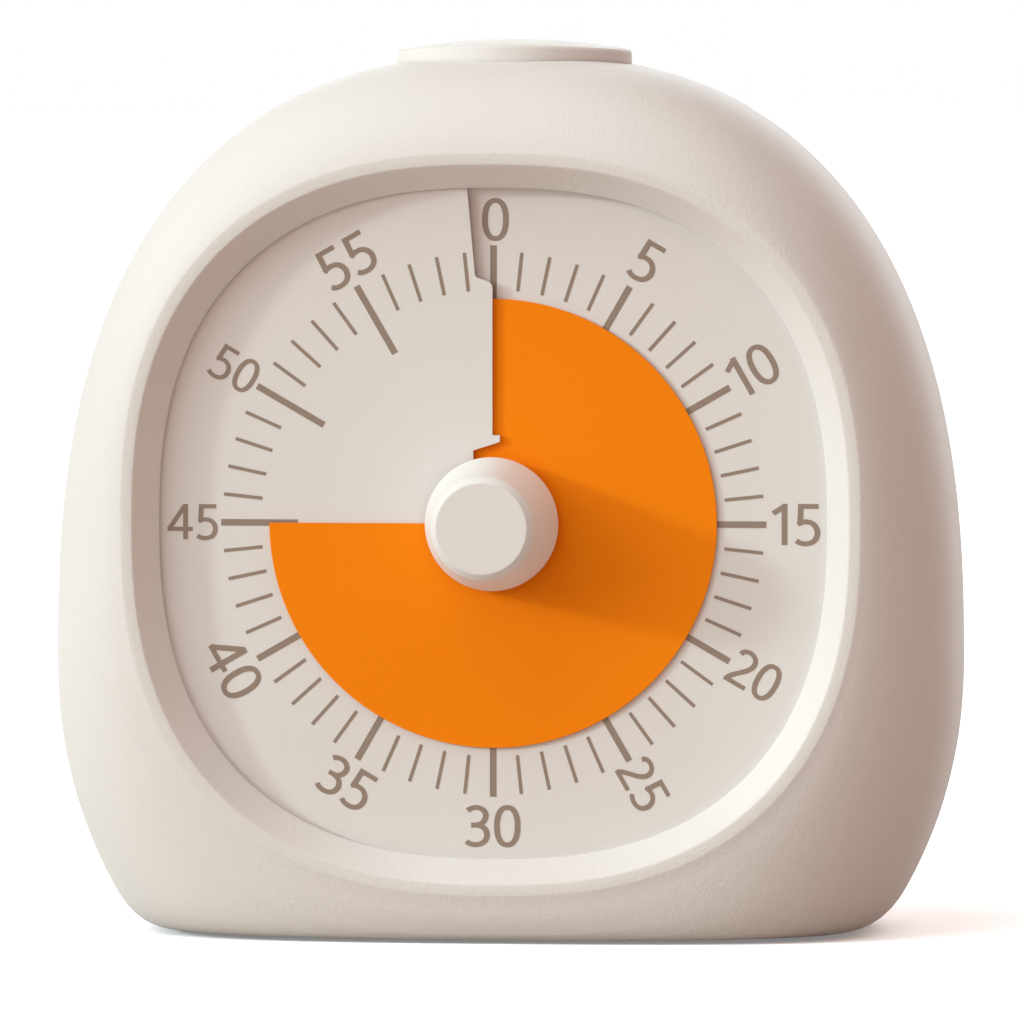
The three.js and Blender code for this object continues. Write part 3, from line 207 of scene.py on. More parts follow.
# Front shell: the moulded casing, one piece of warm white plastic with a very fine matte grain.
# Its side swells from the lip round the dial, and its dome has a round hole for the button.
# Four posts behind the dial take the screws that hold the rear cover.
mm = 0.001
wall = 2.2
around = 192
front_depth, back_depth = 24, 24
seam_y, seam_gap = 16, 0.3
seam_ease, seam_ease_depth = 0.12, 0.15
dial_z, seat_y = 43.65, -20.7
face_power = 2.46
foot, roll = 0.4, 4
button_y, button_hole = 1.5, 12.7
case_posts = ((-18, 9.8), (18, 9.8), (-27, 68), (27, 68))
# An outline: half width, height above and below its widest part, that part's height, and the
# powers that square its upper and its lower half.
lip = (38.8, 38.8, 38.8, dial_z, face_power, face_power)
widest = (47.5, 64.1, 47.15, 28, 2.485, 2.06)
flat_back = (38, 38, 38, 42.5, 2.6, 2.6)
# How the side narrows from the widest outline to each end.
front_curve, back_curve = (0.9, 3.2), (0.95, 2.6)
# The face's edge as size and depth: over the lip, down the funnel and in to the dial's seat.
lip_round = 0.3
face_edge = [
    (38.75, -23.9), (38.6, -23.98), (38.45, -24), (37.5, -24), (37.38, -23.98), (37.28, -23.9),
    (36.9, -23.43), (36.1, -22.5), (35.25, -21.5), (35.0, -21.2), (34.92, -21.07),
    (34.9, -20.95), (34.9, seat_y),
]
inner_rows = (seat_y, -18.5, -15, -11, -6, 0, 6, 11, seam_y)
post_radius, screw_hole, screw_hole_start = 3.1, 1.2, 5
post_start, post_end, past_posts = 2.1, 13.1, 14
rib, rib_foot, rib_side = 0.8, 1.6, 39.5
corner_boss, corner_boss_size, corner_boss_end = 1.7, 37.6, -18.7
bracket_boss, bracket_x, bracket_seat_z = 2.5, 17.4, 79.5
dome_inside_z, dome_outside_z, boss_root_z = 79, 94, 88
pad_half, pad_corner, pad_gap, pad_recess = (25, 15), 6, 0.1, 1.5
sunk = 0.3


def softened(value, power):
    return math.copysign(abs(value) ** power, value)


def oval(angle, outline, inset=0):
    width, above, below, middle, upper, lower = outline
    height, power = (above, 2 / upper) if math.sin(angle) > 0 else (below, 2 / lower)
    return (
        (width - inset) * softened(math.cos(angle), power),
        middle + (height - inset) * softened(math.sin(angle), power),
    )


def fullness(share, curve, power):
    """1 at the widest outline, 0 at the end: how full the side is at a share of the way."""

    def height(along):
        return (1 - along**power) ** (1 / power)

    return (height(curve * share) - height(curve)) / (1 - height(curve))


def casing_point(angle, y, inset=0):
    if y < 0:
        end, share = lip, fullness(-y / front_depth, *front_curve)
    else:
        end, share = flat_back, fullness(y / back_depth, *back_curve)
    x, z = oval(angle, end, inset)
    wide_x, wide_z = oval(angle, widest, inset)
    x += (wide_x - x) * share
    z += (wide_z - z) * share
    floor = foot + inset
    if z < floor - roll:
        z = floor
    elif z < floor + roll:
        z = floor + (z - floor + roll) ** 2 / (4 * roll)
    return (x, y, z)


def angles(count):
    return [2 * math.pi * (k + 0.5) / count for k in range(count)]


def casing_row(y, inset=0):
    return [casing_point(t, y, inset) for t in angles(around)]


def face_row(size, y):
    outline = (size, size, size, dial_z, face_power, face_power)
    row = (oval(t, outline) for t in angles(around))
    return [(x, y, z) for x, z in row]


def round_row(x, z, radius, y, count):
    return [(x + radius * math.cos(t), y, z + radius * math.sin(t)) for t in angles(count)]


def new_piece(name, points, faces):
    mesh = bpy.data.meshes.new(name)
    mesh.from_pydata([Vector(p) * mm for p in points], [], faces)
    mesh.validate()
    made = bpy.data.objects.new(name, mesh)
    bpy.context.collection.objects.link(made)
    return made


def skin(name, rows, ring=False):
    """A mesh over rows of equally many points: closed into a ring, or capped at both ends."""
    count = len(rows[0])
    points = [p for row in rows for p in row]
    faces = []
    for k in range(len(rows) if ring else len(rows) - 1):
        low, high = k * count, (k + 1) % len(rows) * count
        for i in range(count):
            j = (i + 1) % count
            faces.append((low + i, low + j, high + j, high + i))
    if not ring:
        faces += [tuple(reversed(range(count))), tuple(range(len(points) - count, len(points)))]
    made = new_piece(name, points, faces)
    outward(made)
    return made


def outward(piece):
    """Turns every face of a piece outwards."""
    bm = bmesh.new()
    bm.from_mesh(piece.data)
    bmesh.ops.recalc_face_normals(bm, faces=bm.faces)
    bm.to_mesh(piece.data)
    bm.free()


def settle(piece):
    """Applies a piece's modifiers to its mesh."""
    bpy.context.view_layer.update()
    evaluated = piece.evaluated_get(bpy.context.evaluated_depsgraph_get())
    mesh = bpy.data.meshes.new_from_object(evaluated)
    piece.modifiers.clear()
    piece.data = mesh


def carve(piece, tools, operation="DIFFERENCE"):
    for tool in tools:
        step = piece.modifiers.new("carve", "BOOLEAN")
        step.operation, step.solver, step.object = operation, "MANIFOLD", tool
    settle(piece)
    for tool in tools:
        bpy.data.objects.remove(tool)


def rounded(piece, width, segments=3, limit=30):
    step = piece.modifiers.new("edges", "BEVEL")
    step.width, step.segments = width * mm, segments
    step.limit_method, step.angle_limit = "ANGLE", math.radians(limit)
    settle(piece)


def dress(piece, body, material, slot, *nodes, crease=32):
    piece.data.materials.clear()
    piece.data.materials.append(material)
    piece.data.shade_smooth()
    piece.data.set_sharp_from_angle(angle=math.radians(crease))
    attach(piece, body)
    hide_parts(*nodes)


def rod(start, end, radius, count=32):
    """A round bar between two points."""
    a, b = Vector(start), Vector(end)
    along = (b - a).normalized()
    side = along.orthogonal().normalized()
    up = along.cross(side)
    wire_ridges_and_groove_shade = [2 * math.pi * k / count for k in range(count)]
    rows = [
        [tuple(centre + (side * math.cos(t) + up * math.sin(t)) * radius) for t in wire_ridges_and_groove_shade]
        for centre in (a, b)
    ]
    return skin("rod", rows)


def block(low, high):
    (x0, y0, z0), (x1, y1, z1) = low, high
    rows = [[(x0, y0, z), (x1, y0, z), (x1, y1, z), (x0, y1, z)] for z in (z0, z1)]
    return skin("block", rows)


def pad_outline(margin, z):
    """The base pad's outline, a rectangle with round corners, grown by a margin."""
    points = []
    x, y, r = pad_half[0] + margin, pad_half[1] + margin, pad_corner + margin
    for corner, (sx, sy) in enumerate(((1, 1), (-1, 1), (-1, -1), (1, -1))):
        for k in range(9):
            t = math.pi / 2 * (corner + k / 8)
            points.append((sx * (x - r) + r * math.cos(t), sy * (y - r) + r * math.sin(t), z))
    return points


def moulded(name, colour, shade, roughness, grain=3200, depth=0.00004, shine=0.4):
    """Moulded plastic: faint clouds in its colour, a fine grain in its gloss and its relief."""
    f = Finish(name)
    clouds = f.noise(45, 3)
    fine = f.noise(grain, 2)
    return f.wear(
        f.tint(clouds, colour, shade),
        (fine - 0.5) * 0.14 + roughness,
        bump=fine + f.noise(grain / 3, 2) * 0.6,
        depth=depth,
        Specular_IOR_Level=shine,
    )


shell_plastic = moulded("shell_plastic", (0.80, 0.79, 0.78), (0.77, 0.755, 0.74), 0.6, shine=0.2)


def front_shell():
    steps, spacing, length = 40, 0.85, seam_y + front_depth - lip_round
    depths = [seam_y - seam_ease_depth]
    depths += [seam_y - length * (k / steps) ** spacing for k in range(1, steps + 1)]
    rows = [casing_row(seam_y, seam_ease)] + [casing_row(y) for y in depths]
    rows += [face_row(size, y) for size, y in face_edge]
    rows += [casing_row(y, wall) for y in inner_rows]
    shell = skin("casing_front", rows, ring=True)

    posts = []
    for x, z in case_posts:
        posts.append(rod((x, post_start, z), (x, post_end, z), post_radius))
        if z < dial_z:
            posts.append(block((x - rib, post_start, rib_foot), (x + rib, post_end, z)))
        else:
            near, far = sorted((x, math.copysign(rib_side, x)))
            posts.append(block((near, post_start, z - rib), (far, post_end, z + rib)))
    carve(shell, posts, "UNION")

    reach = corner_boss_size * math.sqrt(0.5) ** (2 / face_power)
    bosses = [
        rod((x, seat_y - sunk, dial_z + z), (x, corner_boss_end, dial_z + z), corner_boss)
        for x in (-reach, reach)
        for z in (-reach, reach)
    ]
    for x in (-bracket_x, bracket_x):
        low, high = (x, button_y, bracket_seat_z), (x, button_y, boss_root_z)
        bosses.append(rod(low, high, bracket_boss))
    carve(shell, bosses, "UNION")

    low, high = (0, button_y, dome_inside_z), (0, button_y, dome_outside_z)
    holes = [rod(low, high, button_hole, 96)]
    holes.append(skin("recess", [pad_outline(pad_gap, z) for z in (-1, pad_recess)]))
    for x, z in case_posts:
        holes.append(rod((x, screw_hole_start, z), (x, past_posts, z), screw_hole))
    carve(shell, holes)
    dress(shell, "case", shell_plastic, "shell", "front_shell", crease=50)


front_shell()


# Rear cover: a shallow cup of the same plastic that closes the casing behind its widest part.
# It is moulded with the battery tray, four screw posts and the ring that holds the buzzer,
# and its tongue fits inside the front shell.
sound_x, sound_z = 12.825, 59.865
mouth, past_back = 0.22, 25
back_inside = 21.8
back_post, back_post_start, back_root = 3.4, 13.2, 22.6
back_screw_hole, screw_head_bore, screw_head_seat = 1.3, 2.7, 15.2
# Blocks as their lower and upper corners, and the buzzer's ring as radii and start.
tray = ((-28.85, 5.5, 18), (28.85, 22.2, 36))
tray_hollow = ((-27.45, 6.9, 19.4), (27.45, past_back, 34.6))
door_frame = ((-31.35, 19, 15.5), (31.35, 22.2, 38.5))
buzzer_ring, buzzer_seat, buzzer_ring_start = 10.3, 9.3, 19.4
sound_ring, sound_hole = 3.6, 0.9
door_z, door_well, slider_well = 27, (29.65, 9.8), (4.3, 1.7)


def opened(start):
    return ((0, start), (0, back_depth - mouth), (mouth, back_depth), (mouth, past_back))


def bore(x, z, radius, start):
    """A round hole through the back, slightly opened at its mouth."""
    return skin("bore", [
        round_row(x, z, radius + grown, y, 40)
        for grown, y in opened(start)
    ])


def well(middle, half, start):
    """A straight-sided recess in the back, slightly opened at its mouth."""
    (x, z), (half_x, half_z) = middle, half
    return skin("well", [
        [(x + i * (half_x + grown), y, z + j * (half_z + grown)) for i, j in square]
        for grown, y in opened(start)
    ])


def rear_cover():
    start, side_end, steps = seam_y + seam_gap, 23, 16
    rows = [casing_row(start, seam_ease), casing_row(start + seam_ease_depth)]
    rows += [casing_row(start + (side_end - start) * k / steps) for k in range(1, steps + 1)]
    back_edge = ((0, 23.4), (0, 23.75), (0.15, 23.9), (0.4, 23.98), (0.75, back_depth))
    rows += [casing_row(y, inset) for inset, y in back_edge]
    cover = skin("casing_rear", rows)
    carve(cover, [skin("hollow", [casing_row(y, wall) for y in (15, 18, 20, back_inside)])])

    tongue_edge = (
        (2.6, 13.4), (2.5, 13.6), (2.5, start), (1.4, start + 0.01), (1.4, 17.5), (3.7, 17.5),
        (3.7, 13.4),
    )
    tongue = skin("tongue", [casing_row(y, inset) for inset, y in tongue_edge], ring=True)
    inner = [rod((x, back_post_start, z), (x, back_root, z), back_post) for x, z in case_posts]
    inner += [block(*tray), block(*door_frame)]
    start, end = (-sound_x, buzzer_ring_start, sound_z), (-sound_x, back_root, sound_z)
    inner.append(rod(start, end, buzzer_ring, 64))
    carve(cover, [tongue, *inner], "UNION")

    ways = [
        rod((-sound_x, 18, sound_z), (-sound_x, back_inside, sound_z), buzzer_seat, 64),
        block(*tray_hollow),
        well((0, door_z), door_well, 22.1),
        well((sound_x + 2, sound_z), slider_well, 20),
    ]
    for x, z in case_posts:
        ways.append(rod((x, 12, z), (x, past_back, z), back_screw_hole))
        ways.append(bore(x, z, screw_head_bore, screw_head_seat))
    for k in range(7):
        t = math.pi / 3 * k
        away = sound_ring if k else 0
        x, z = -sound_x + away * math.cos(t), sound_z + away * math.sin(t)
        ways.append(bore(x, z, sound_hole, 20))
    carve(cover, ways)
    dress(cover, "case", shell_plastic, "shell", "rear_cover", crease=28)


rear_cover()


# Battery door: a flat cover of the same plastic that snaps into the back, over the cell.
# Four shallow grooves give a fingertip its grip.
def battery_door():
    half_x, low_z, high_z, inner_y, edge = 29.35, 17.5, 36.5, 22.2, 0.22
    groove_x, groove_z, groove_step, groove_y = 6.5, 33.5, 1.7, 24.1
    door = block((-half_x, inner_y, low_z), (half_x, back_depth, high_z))
    rounded(door, edge)
    heights = [groove_z - groove_step * k for k in range(4)]
    grooves = [rod((-groove_x, groove_y, z), (groove_x, groove_y, z), 0.5, 24) for z in heights]
    carve(door, grooves)
    dress(door, "door", shell_plastic, "shell", "battery_door")


battery_door()


# Base pad: a dark, soft rubber pad that fills a recess in the underside. It stands a little
# proud of the casing, so that the timer doesn't slide when its knob is turned.
def base_pad():
    steps = ((0.25, 0), (0.05, 0.08), (0, 0.25), (0, 1.4))
    pad = skin("base_pad_rubber", [pad_outline(-inset, z) for inset, z in steps])
    rubber = Finish("pad_rubber")
    fine = rubber.noise(1500, 4)
    material = rubber.wear(
        rubber.tint(fine, (0.075, 0.068, 0.062), (0.115, 0.105, 0.095)),
        (fine - 0.5) * 0.2 + 0.8,
        bump=fine,
        depth=0.00004,
    )
    dress(pad, "case", material, "pad", "base_pad")


base_pad()


# Dial plate: one thin sheet of white plastic that climbs evenly once round, clockwise from 0,
# so that its raised left side covers the disc at 0. The cut edge is shaped where it is seen.
rise, sheet_step = 0.95, 1.5
low_dial_y = -19.65
plate_size = 37
cut_turn = 355
cut_low, cut_high = 0.32, 2
# The dial's cut from above 0 down to the hub, right and up, and round to close the outline.
cut_line = [
    (-2.69, 39.5), (-2.69, 34.9), (-1.87, 25.97), (-1.83, 25.78), (-1.74, 25.65),
    (-1.58, 25.56), (-0.62, 25.22), (-0.36, 25.1), (-0.17, 24.92), (-0.06, 24.68),
    (-0.03, 24.4), (-0.03, 9.2), (0.75, 9.2), (0.74, 8.5), (-2.03, 7.6), (-2.03, 0),
    (39.5, 0), (39.5, 39.5),
]


def dial_point(x, up, height):
    """A point given in the dial's own frame: right, up and towards the viewer."""
    return (x, low_dial_y - height, dial_z + up)


def dial_height(x, up):
    turn = math.degrees(math.atan2(x, up)) % 360
    return rise * (turn - 360 if turn > cut_turn else turn) / 360


def climbing_sheet(name, inner, reach, first, last, bottom, thickness, edge=0.0):
    """A thin sheet that climbs from one turn to another, in degrees clockwise from 0."""
    count = round((last - first) / sheet_step)
    rows = []
    for k in range(count + 1):
        degrees = first + (last - first) * k / count
        t = math.radians(degrees)
        low = bottom + rise * degrees / 360
        high, outer = low + thickness, reach(t)
        section = [(inner, low), (outer, low), (outer, high - edge)]
        if edge:
            section.append((outer - edge, high))
        section.append((inner, high))
        rows.append([dial_point(r * math.sin(t), r * math.cos(t), h) for r, h in section])
    return skin(name, rows)


def plate_reach(t):
    total = abs(math.sin(t)) ** face_power + abs(math.cos(t)) ** face_power
    return plate_size / total ** (1 / face_power)


def dial_plate():
    plate = climbing_sheet(
        "dial_face", inner=6, reach=plate_reach, first=-20, last=368, bottom=-0.35, thickness=0.35
    )
    cutter = skin("cutter", [
        [dial_point(x, up, h) for x, up in cut_line] for h in (cut_low, cut_high)
    ])
    carve(plate, [cutter])
    rim_edge = ((35.1, -20.6), (38.9, -20.6), (38.9, -19.05), (35.1, -19.05))
    rim = skin("rim", [face_row(size, y) for size, y in rim_edge], ring=True)
    carve(plate, [rim], "UNION")
    finish = moulded(
        "dial_plastic", (0.79, 0.78, 0.77), (0.765, 0.75, 0.735), 0.68, grain=2600, depth=0.000018
    )
    dress(plate, "case", finish, "dial", "dial_plate", crease=25)


dial_plate()


# Dial print: sixty ticks, one a minute with every fifth longer and broader, and plain numbers,
# in brown ink. The print follows the dial's climb and lies on it.
ink = Finish("dial_ink")
ink_spots = ink.noise(2200, 3)
dial_ink = ink.wear(
    ink.tint(ink_spots, (0.257, 0.188, 0.145), (0.295, 0.222, 0.174)),
    (ink_spots - 0.5) * 0.1 + 0.6,
)
print_lift, print_step, print_sink = 0.025, 0.003, 0.02
# Ticks: inner end, outer end and half width.
major_tick, minor_tick, zero_tick_end = (20.4, 28.45, 0.34), (24.25, 28.3, 0.18), 28.9


def printed(name, shapes, material):
    """Flat strips of left and right points on the climbing dial, each a hair over the last."""
    points, faces = [], []
    for place, (left, right) in enumerate(shapes):
        start, lift = len(points), print_lift + print_step * (place % 4)
        for pair in zip(left, right):
            for x, up in pair:
                base = dial_height(x, up)
                points += [dial_point(x, up, base - print_sink), dial_point(x, up, base + lift)]
        steps = len(left) - 1
        for k in range(steps):
            a, b = start + 4 * k, start + 4 * (k + 1)
            faces += [(a + 1, a + 3, b + 3, b + 1), (a, b, b + 2, a + 2)]
            faces += [(a, a + 1, b + 1, b), (a + 2, b + 2, b + 3, a + 3)]
        end = start + 4 * steps
        faces += [(start, start + 2, start + 3, start + 1), (end, end + 1, end + 3, end + 2)]
    made = new_piece(name, points, faces)
    outward(made)
    dress(made, "case", material, "dial", crease=40)


def tick(minute):
    t = math.radians(6 * minute)
    inner, outer, half = minor_tick if minute % 5 else major_tick
    if minute == 0:
        outer = zero_tick_end
    left, right = [], []
    for k in range(5):
        r = inner + (outer - inner) * k / 4
        for side, row in ((-half, left), (half, right)):
            row.append((
                r * math.sin(t) + side * math.cos(t), r * math.cos(t) - side * math.sin(t)
            ))
    return left, right


printed("dial_ticks", [tick(minute) for minute in range(60)], dial_ink)


# Each figure is drawn as pen strokes in a box of height 1: its width, the free space at its
# left and right, and its strokes. Round strokes are smoothed, straight ones are kept.
def ring_stroke(x, y, width, height, squareness=0.87):
    points = []
    for k in range(49):
        t = 2 * math.pi * k / 48
        across, along = softened(math.sin(t), squareness), softened(math.cos(t), squareness)
        points.append((x + width * across, y + height * along))
    return points


def curve_stroke(points, steps=6):
    """A smooth line through the points."""
    ends = [points[0]] + points + [points[-1]]
    smooth = []
    for a, b, c, d in zip(ends, ends[1:], ends[2:], ends[3:]):
        for k in range(steps):
            s = k / steps
            smooth.append(tuple(
                0.5 * (2 * q + (r - p) * s + (2 * p - 5 * q + 4 * r - u) * s * s
                       + (3 * q - p - 3 * r + u) * s**3)
                for p, q, r, u in zip(a, b, c, d)
            ))
    return smooth + [points[-1]]


figures = {
    "0": (0.64, 0.05, 0.05, [ring_stroke(0.32, 0.5, 0.25, 0.452)]),
    "1": (0.36, 0.08, 0.12, [[(0.012, 0.765), (0.29, 0.938)], [(0.29, 1), (0.29, 0)]]),
    "2": (0.63, 0.05, 0.045, [
        curve_stroke([
            (0.09, 0.80), (0.13, 0.885), (0.21, 0.935), (0.315, 0.948), (0.42, 0.92),
            (0.51, 0.845), (0.547, 0.73), (0.52, 0.61), (0.44, 0.49), (0.32, 0.37),
            (0.2, 0.255), (0.11, 0.15), (0.065, 0.06),
        ]),
        [(0.003, 0.06), (0.63, 0.06)],
    ]),
    "3": (0.59, 0.05, 0.045, [
        curve_stroke([
            (0.045, 0.868), (0.12, 0.92), (0.26, 0.948), (0.40, 0.905), (0.485, 0.79),
            (0.46, 0.65), (0.37, 0.555), (0.25, 0.522),
        ]),
        [(0.13, 0.522), (0.32, 0.522)],
        curve_stroke([
            (0.25, 0.522), (0.38, 0.495), (0.48, 0.41), (0.515, 0.285), (0.475, 0.155),
            (0.37, 0.075), (0.24, 0.05), (0.11, 0.07), (0.012, 0.125),
        ]),
    ]),
    "4": (0.72, 0.03, 0.04, [
        [(0.046, 0.294), (0.49, 0.948)], [(0, 0.294), (0.723, 0.294)], [(0.519, 1), (0.519, 0)],
    ]),
    "5": (0.60, 0.08, 0.06, [
        [(0.066, 0.94), (0.556, 0.94)],
        [(0.132, 1), (0.108, 0.5)],
        curve_stroke([
            (0.05, 0.51), (0.16, 0.555), (0.27, 0.566), (0.39, 0.535), (0.485, 0.45),
            (0.531, 0.31), (0.50, 0.17), (0.42, 0.08), (0.31, 0.04), (0.2, 0.035),
            (0.1, 0.058), (0.018, 0.108),
        ]),
    ]),
}
pen_across, pen_along = 0.07, 0.059
number_radius = 31.5
# Height of each number, how far it is turned clockwise, and how far it is moved right and up.
numbers = {
    0: (4.38, 0, 0.2, 0.08), 5: (4.32, 30, 0.25, -0.05), 10: (4.3, -30, -0.22, 0.31),
    15: (4.28, 0, 0.1, 0.04), 20: (3.95, 30, 0, 0.1), 25: (3.85, 60, -0.1, 0.28),
    30: (4.32, 0, 0, -0.02), 35: (4.2, 30, 0.45, 0.15), 40: (4.35, 60, 0.02, 0.62),
    45: (3.66, 0, 0.06, 0.05), 50: (3.62, 30, 0.33, 0.2), 55: (4.3, -30, 0.5, 0.05),
}


def pen_strip(points):
    """The two edges of a stroke that a slightly flattened pen draws."""
    left, right = [], []
    closed = math.dist(points[0], points[-1]) < 1e-6
    for k, (x, y) in enumerate(points):
        before = points[k - 1] if k else (points[-2] if closed else points[0])
        after = points[k + 1] if k + 1 < len(points) else (points[1] if closed else points[-1])
        dx, dy = after[0] - before[0], after[1] - before[1]
        length = math.hypot(dx, dy)
        nx, ny = -dy / length * pen_across, dx / length * pen_along
        left.append((x + nx, y + ny))
        right.append((x - nx, y - ny))
    return left, right


def number_shapes(minute, height, turn, right, up):
    """The strips of one number, its figures in a row, turned and set at its minute."""
    text = str(minute)
    total = sum(figures[c][0] for c in text)
    for a, b in zip(text, text[1:]):
        total += figures[a][2] + figures[b][1]
    t = math.radians(6 * minute)
    middle = (number_radius * math.sin(t) + right, number_radius * math.cos(t) + up)
    lean = math.radians(turn)
    start, shapes = -total / 2, []
    for place, c in enumerate(text):
        if place:
            start += figures[text[place - 1]][2] + figures[c][1]
        for stroke in figures[c][3]:
            strip = []
            for row in pen_strip(stroke):
                moved = []
                for x, y in row:
                    u, v = (start + x) * height, (y - 0.5) * height
                    moved.append((
                        middle[0] + u * math.cos(lean) + v * math.sin(lean),
                        middle[1] - u * math.sin(lean) + v * math.cos(lean),
                    ))
                strip.append(moved)
            shapes.append(tuple(strip))
        start += figures[c][0]
    return shapes


printed(
    "dial_numbers",
    [shape for minute, place in numbers.items() for shape in number_shapes(minute, *place)],
    dial_ink,
)


# Time disc: a thin orange sheet with the dial's climb, keyed to the spindle by its sleeve.
# It screws towards the viewer as it turns, so it always lies just over the dial.
disc_radius = 23.35
sleeve_edge = ((1.62, -19.55), (5.3, -19.55), (5.3, -20.95), (1.62, -20.95))


def time_disc():
    disc = climbing_sheet(
        "orange_disc", inner=3.4, reach=lambda t: disc_radius, first=-88.5, last=270, bottom=0.2,
        thickness=0.2, edge=0.04,
    )
    sleeve = skin("sleeve", [round_row(0, dial_z, r, y, 64) for r, y in sleeve_edge], ring=True)
    carve(disc, [sleeve], "UNION")
    finish = moulded(
        "disc_plastic", (1, 0.262, 0.002), (0.97, 0.247, 0.002), 0.6, grain=2600,
        depth=0.000016, shine=0.1,
    )
    dress(disc, "disc", finish, "disc", "time_disc", crease=30)


time_disc()


# Knob: one round moulding of pale plastic that narrows to the front and ends in a broad
# chamfer. Its blind bore is pressed on the spindle.
tip = 0.01
knob_edge = [
    (tip, -21.25), (6.6, -21.25), (6.84, -21.32), (6.95, -21.5), (6.96, -21.75), (6.87, -22.0),
    (5.43, -30.9), (5.4, -31.1), (5.34, -31.27), (5.25, -31.4), (5.2, -31.46), (4.84, -31.97),
    (4.79, -32.02), (4.74, -32.07), (4.66, -32.1), (4.6, -32.1), (tip, -32.1),
]
spindle_bore, bore_start, bore_end = 1.6, -19.6, -29.1


def knob():
    made = skin("setting_knob", [round_row(0, dial_z, r, y, 128) for r, y in knob_edge])
    carve(made, [rod((0, bore_start, dial_z), (0, bore_end, dial_z), spindle_bore)])
    finish = moulded(
        "knob_plastic", (0.82, 0.81, 0.80), (0.79, 0.775, 0.76), 0.5, grain=2600, depth=0.000018
    )
    dress(made, "setting", finish, "knob", "knob", crease=24)


knob()


# Top button: a round cap with a shallow domed top. A flange under the roof keeps it in,
# and a stem in its middle presses the switch.
button_top, side_fall, back_fall = 93.8, 1.15, 0.55
cap_radius, cap_round, cap_bore, cap_roof = 12.4, 0.4, 10.8, 91.05
flange_radius, flange_low, flange_top = 13.5, 85.92, 87.12
stem_radius, stem_low = 2.5, 82.65


def button_height(x, y):
    return button_top - side_fall * (x / cap_radius) ** 2 - back_fall * (y / cap_radius) ** 2


def cap_row(r, drop=None, z=None):
    """A ring of the cap, at one height or a drop below its domed top."""
    row = []
    for t in angles(96):
        x, y = r * math.cos(t), r * math.sin(t)
        row.append((x, button_y + y, z if z is not None else button_height(x, y) - drop))
    return row


def top_button():
    rows = [
        cap_row(flange_radius, z=flange_low), cap_row(flange_radius, z=87.02),
        cap_row(13.4, z=flange_top), cap_row(cap_radius, z=flange_top),
        cap_row(cap_radius, drop=0.42),
    ]
    for k in range(1, 6):
        t = math.pi / 2 * k / 5
        in_by, drop = cap_round * (1 - math.cos(t)), cap_round * (1 - math.sin(t))
        rows.append(cap_row(cap_radius - in_by, drop=drop))
    for share in (0.93, 0.85, 0.75, 0.62, 0.48, 0.34, 0.2, 0.08, 0.002):
        rows.append(cap_row(cap_radius * share, drop=0))
    cap = skin("button_cap", rows)
    carve(cap, [rod((0, button_y, 85), (0, button_y, cap_roof), cap_bore, 96)])
    carve(cap, [rod((0, button_y, stem_low), (0, button_y, 92), stem_radius)], "UNION")
    dress(cap, "button", shell_plastic, "button", "top_button", crease=28)


top_button()


# Metal pieces: a drawn steel spindle, steel screws, springs, stator and contact, and a brass
# bush and clutch washer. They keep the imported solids, with a fine turned or stamped grain.
def metal(name, colour, shade, roughness, scale=900, stretch=(1, 1, 1)):
    f = Finish(name)
    grain = f.noise(scale, 4, stretch)
    base = f.tint(grain, colour, shade)
    return f.wear(base, (grain - 0.5) * 0.25 + roughness, metal=1, bump=grain, depth=0.000006)


steel = metal("bright_steel", (0.62, 0.62, 0.63), (0.48, 0.48, 0.50), 0.32)
drawn_steel = metal(
    "drawn_steel", (0.66, 0.66, 0.67), (0.5, 0.5, 0.52), 0.28, scale=700, stretch=(1, 0.05, 1)
)
brass = metal("turned_brass", (0.72, 0.5, 0.2), (0.58, 0.38, 0.13), 0.3)


def repaint(material, *nodes):
    for name in nodes:
        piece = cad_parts[name]
        piece.data.materials.clear()
        piece.data.materials.append(material)


repaint(drawn_steel, "spindle")
screws = [f"{place}_screw_{k}" for place in ("chassis", "case") for k in (1, 2, 3, 4)]
screws += [f"{place}_screw_{k}" for place in ("movement", "bracket") for k in (1, 2)]
repaint(steel, "stator", "rotor", "battery_contact", "battery_spring", "button_spring", *screws)
repaint(brass, "spindle_bush", "clutch_spring")


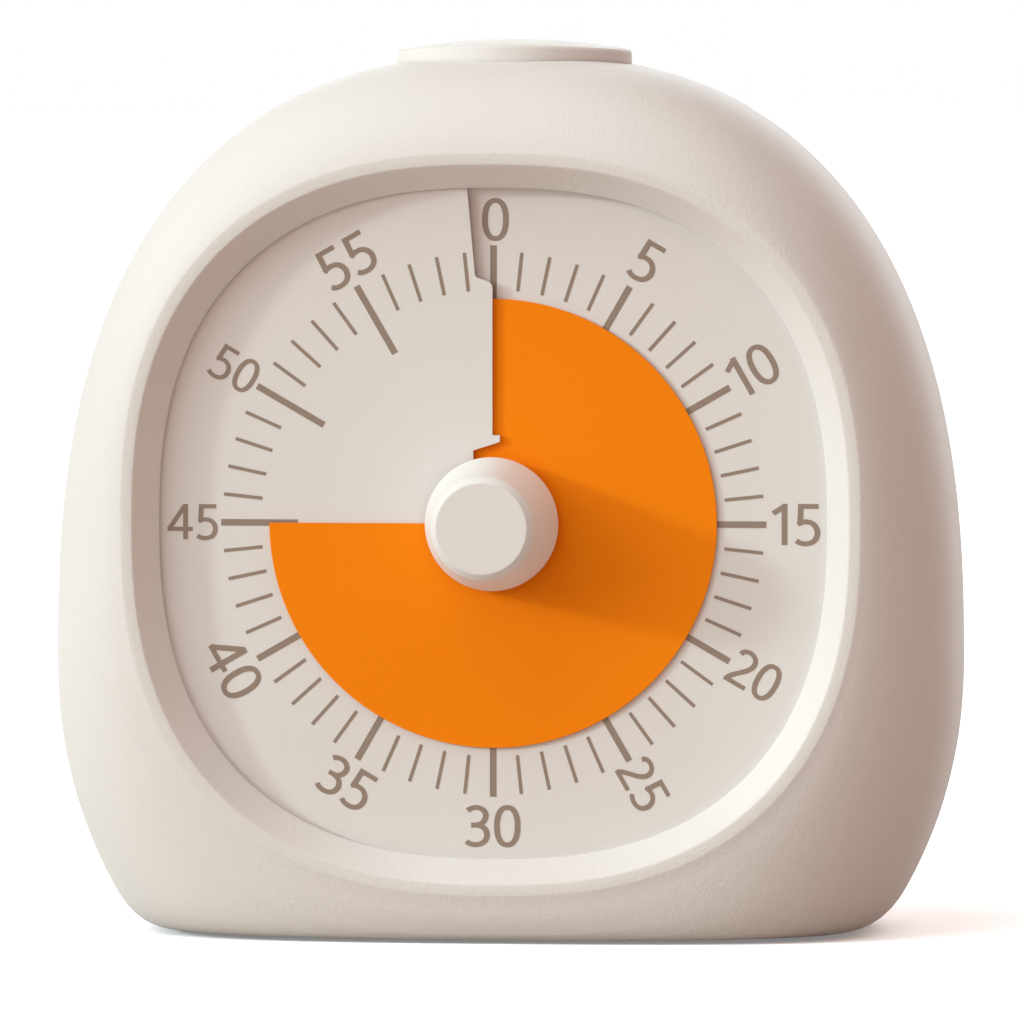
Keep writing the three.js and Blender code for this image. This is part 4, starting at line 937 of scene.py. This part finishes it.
# Moulded inner pieces: a grey chassis and button bracket, a black movement case, buzzer and
# switches, and gears of pale natural plastic.
repaint(
    moulded("chassis_plastic", (0.48, 0.46, 0.43), (0.43, 0.41, 0.385), 0.6),
    "chassis_plate", "button_bracket", "sound_slider",
)
repaint(
    moulded("black_plastic", (0.022, 0.022, 0.024), (0.034, 0.034, 0.036), 0.45),
    "movement_base", "movement_cover", "control_chip", "buzzer", "sound_switch_case",
    "press_switch",
)
repaint(
    moulded("gear_plastic", (0.83, 0.77, 0.62), (0.78, 0.71, 0.55), 0.4),
    "minute_wheel", "idler_wheel",
)


# Coil: many turns of lacquered copper wire, wound side by side between two flanges.
# Its core bridges the stator's two arms, and its pulses turn the rotor step by step.
def coil_finish():
    f = Finish("copper_winding")
    # One banded mask gives the turns their relief and also tints the copper: painted shade
    # darkens the grooves between turns, and a painted highlight brightens their crests.
    wire_ridges_and_groove_shade = f.node(
        "TexWave", {"bands_direction": "X"},
        {"Vector": f.place(), "Scale": 700, "Distortion": 0.4},
    )
    return f.wear(
        f.tint(wire_ridges_and_groove_shade, (0.30, 0.09, 0.03), (0.62, 0.24, 0.09)), wire_ridges_and_groove_shade * 0.15 + 0.3,
        metal=0.9, bump=wire_ridges_and_groove_shade, depth=0.00005,
    )


repaint(coil_finish(), "coil")


# Circuit boards: glass-fibre sheet with a green mask over its copper tracks. The larger one
# carries the chip and a quartz crystal in a drawn steel can, the small one the push switch.
def board_finish():
    f = Finish("green_board")
    cells = f.node(
        "TexVoronoi", {"feature": "DISTANCE_TO_EDGE"},
        {"Vector": f.place(), "Scale": 260, "Randomness": 0.35},
    )
    track = cells > 0.12
    return f.wear(
        f.tint(track, (0.03, 0.17, 0.07), (0.012, 0.09, 0.035)), track * 0.1 + 0.35,
        bump=track, depth=0.00002,
    )


repaint(board_finish(), "circuit_board", "switch_board")
repaint(steel, "quartz_crystal")


# Battery: an AA cell, a steel can in a plain pale blue shrink sleeve, bare at both ends.
# It lies in the rear cover's tray, pressed on the plus contact by the minus spring.
def battery_finish():
    plus_end, minus_end = 0.0245, -0.0232
    f = Finish("cell_sleeve")
    along = f.node("SeparateXYZ", {}, {"Vector": f.place()}, "X")
    bare = (along > plus_end) + (minus_end - along > 0)
    fine = f.noise(1200, 3)
    sleeve = f.tint(fine, (0.30, 0.42, 0.52), (0.26, 0.38, 0.48))
    return f.wear(
        f.tint(bare, sleeve, (0.62, 0.62, 0.63)), (fine - 0.5) * 0.15 + 0.32,
        metal=bare * 0.9, bump=fine, depth=0.000006,
    )


repaint(battery_finish(), "battery")
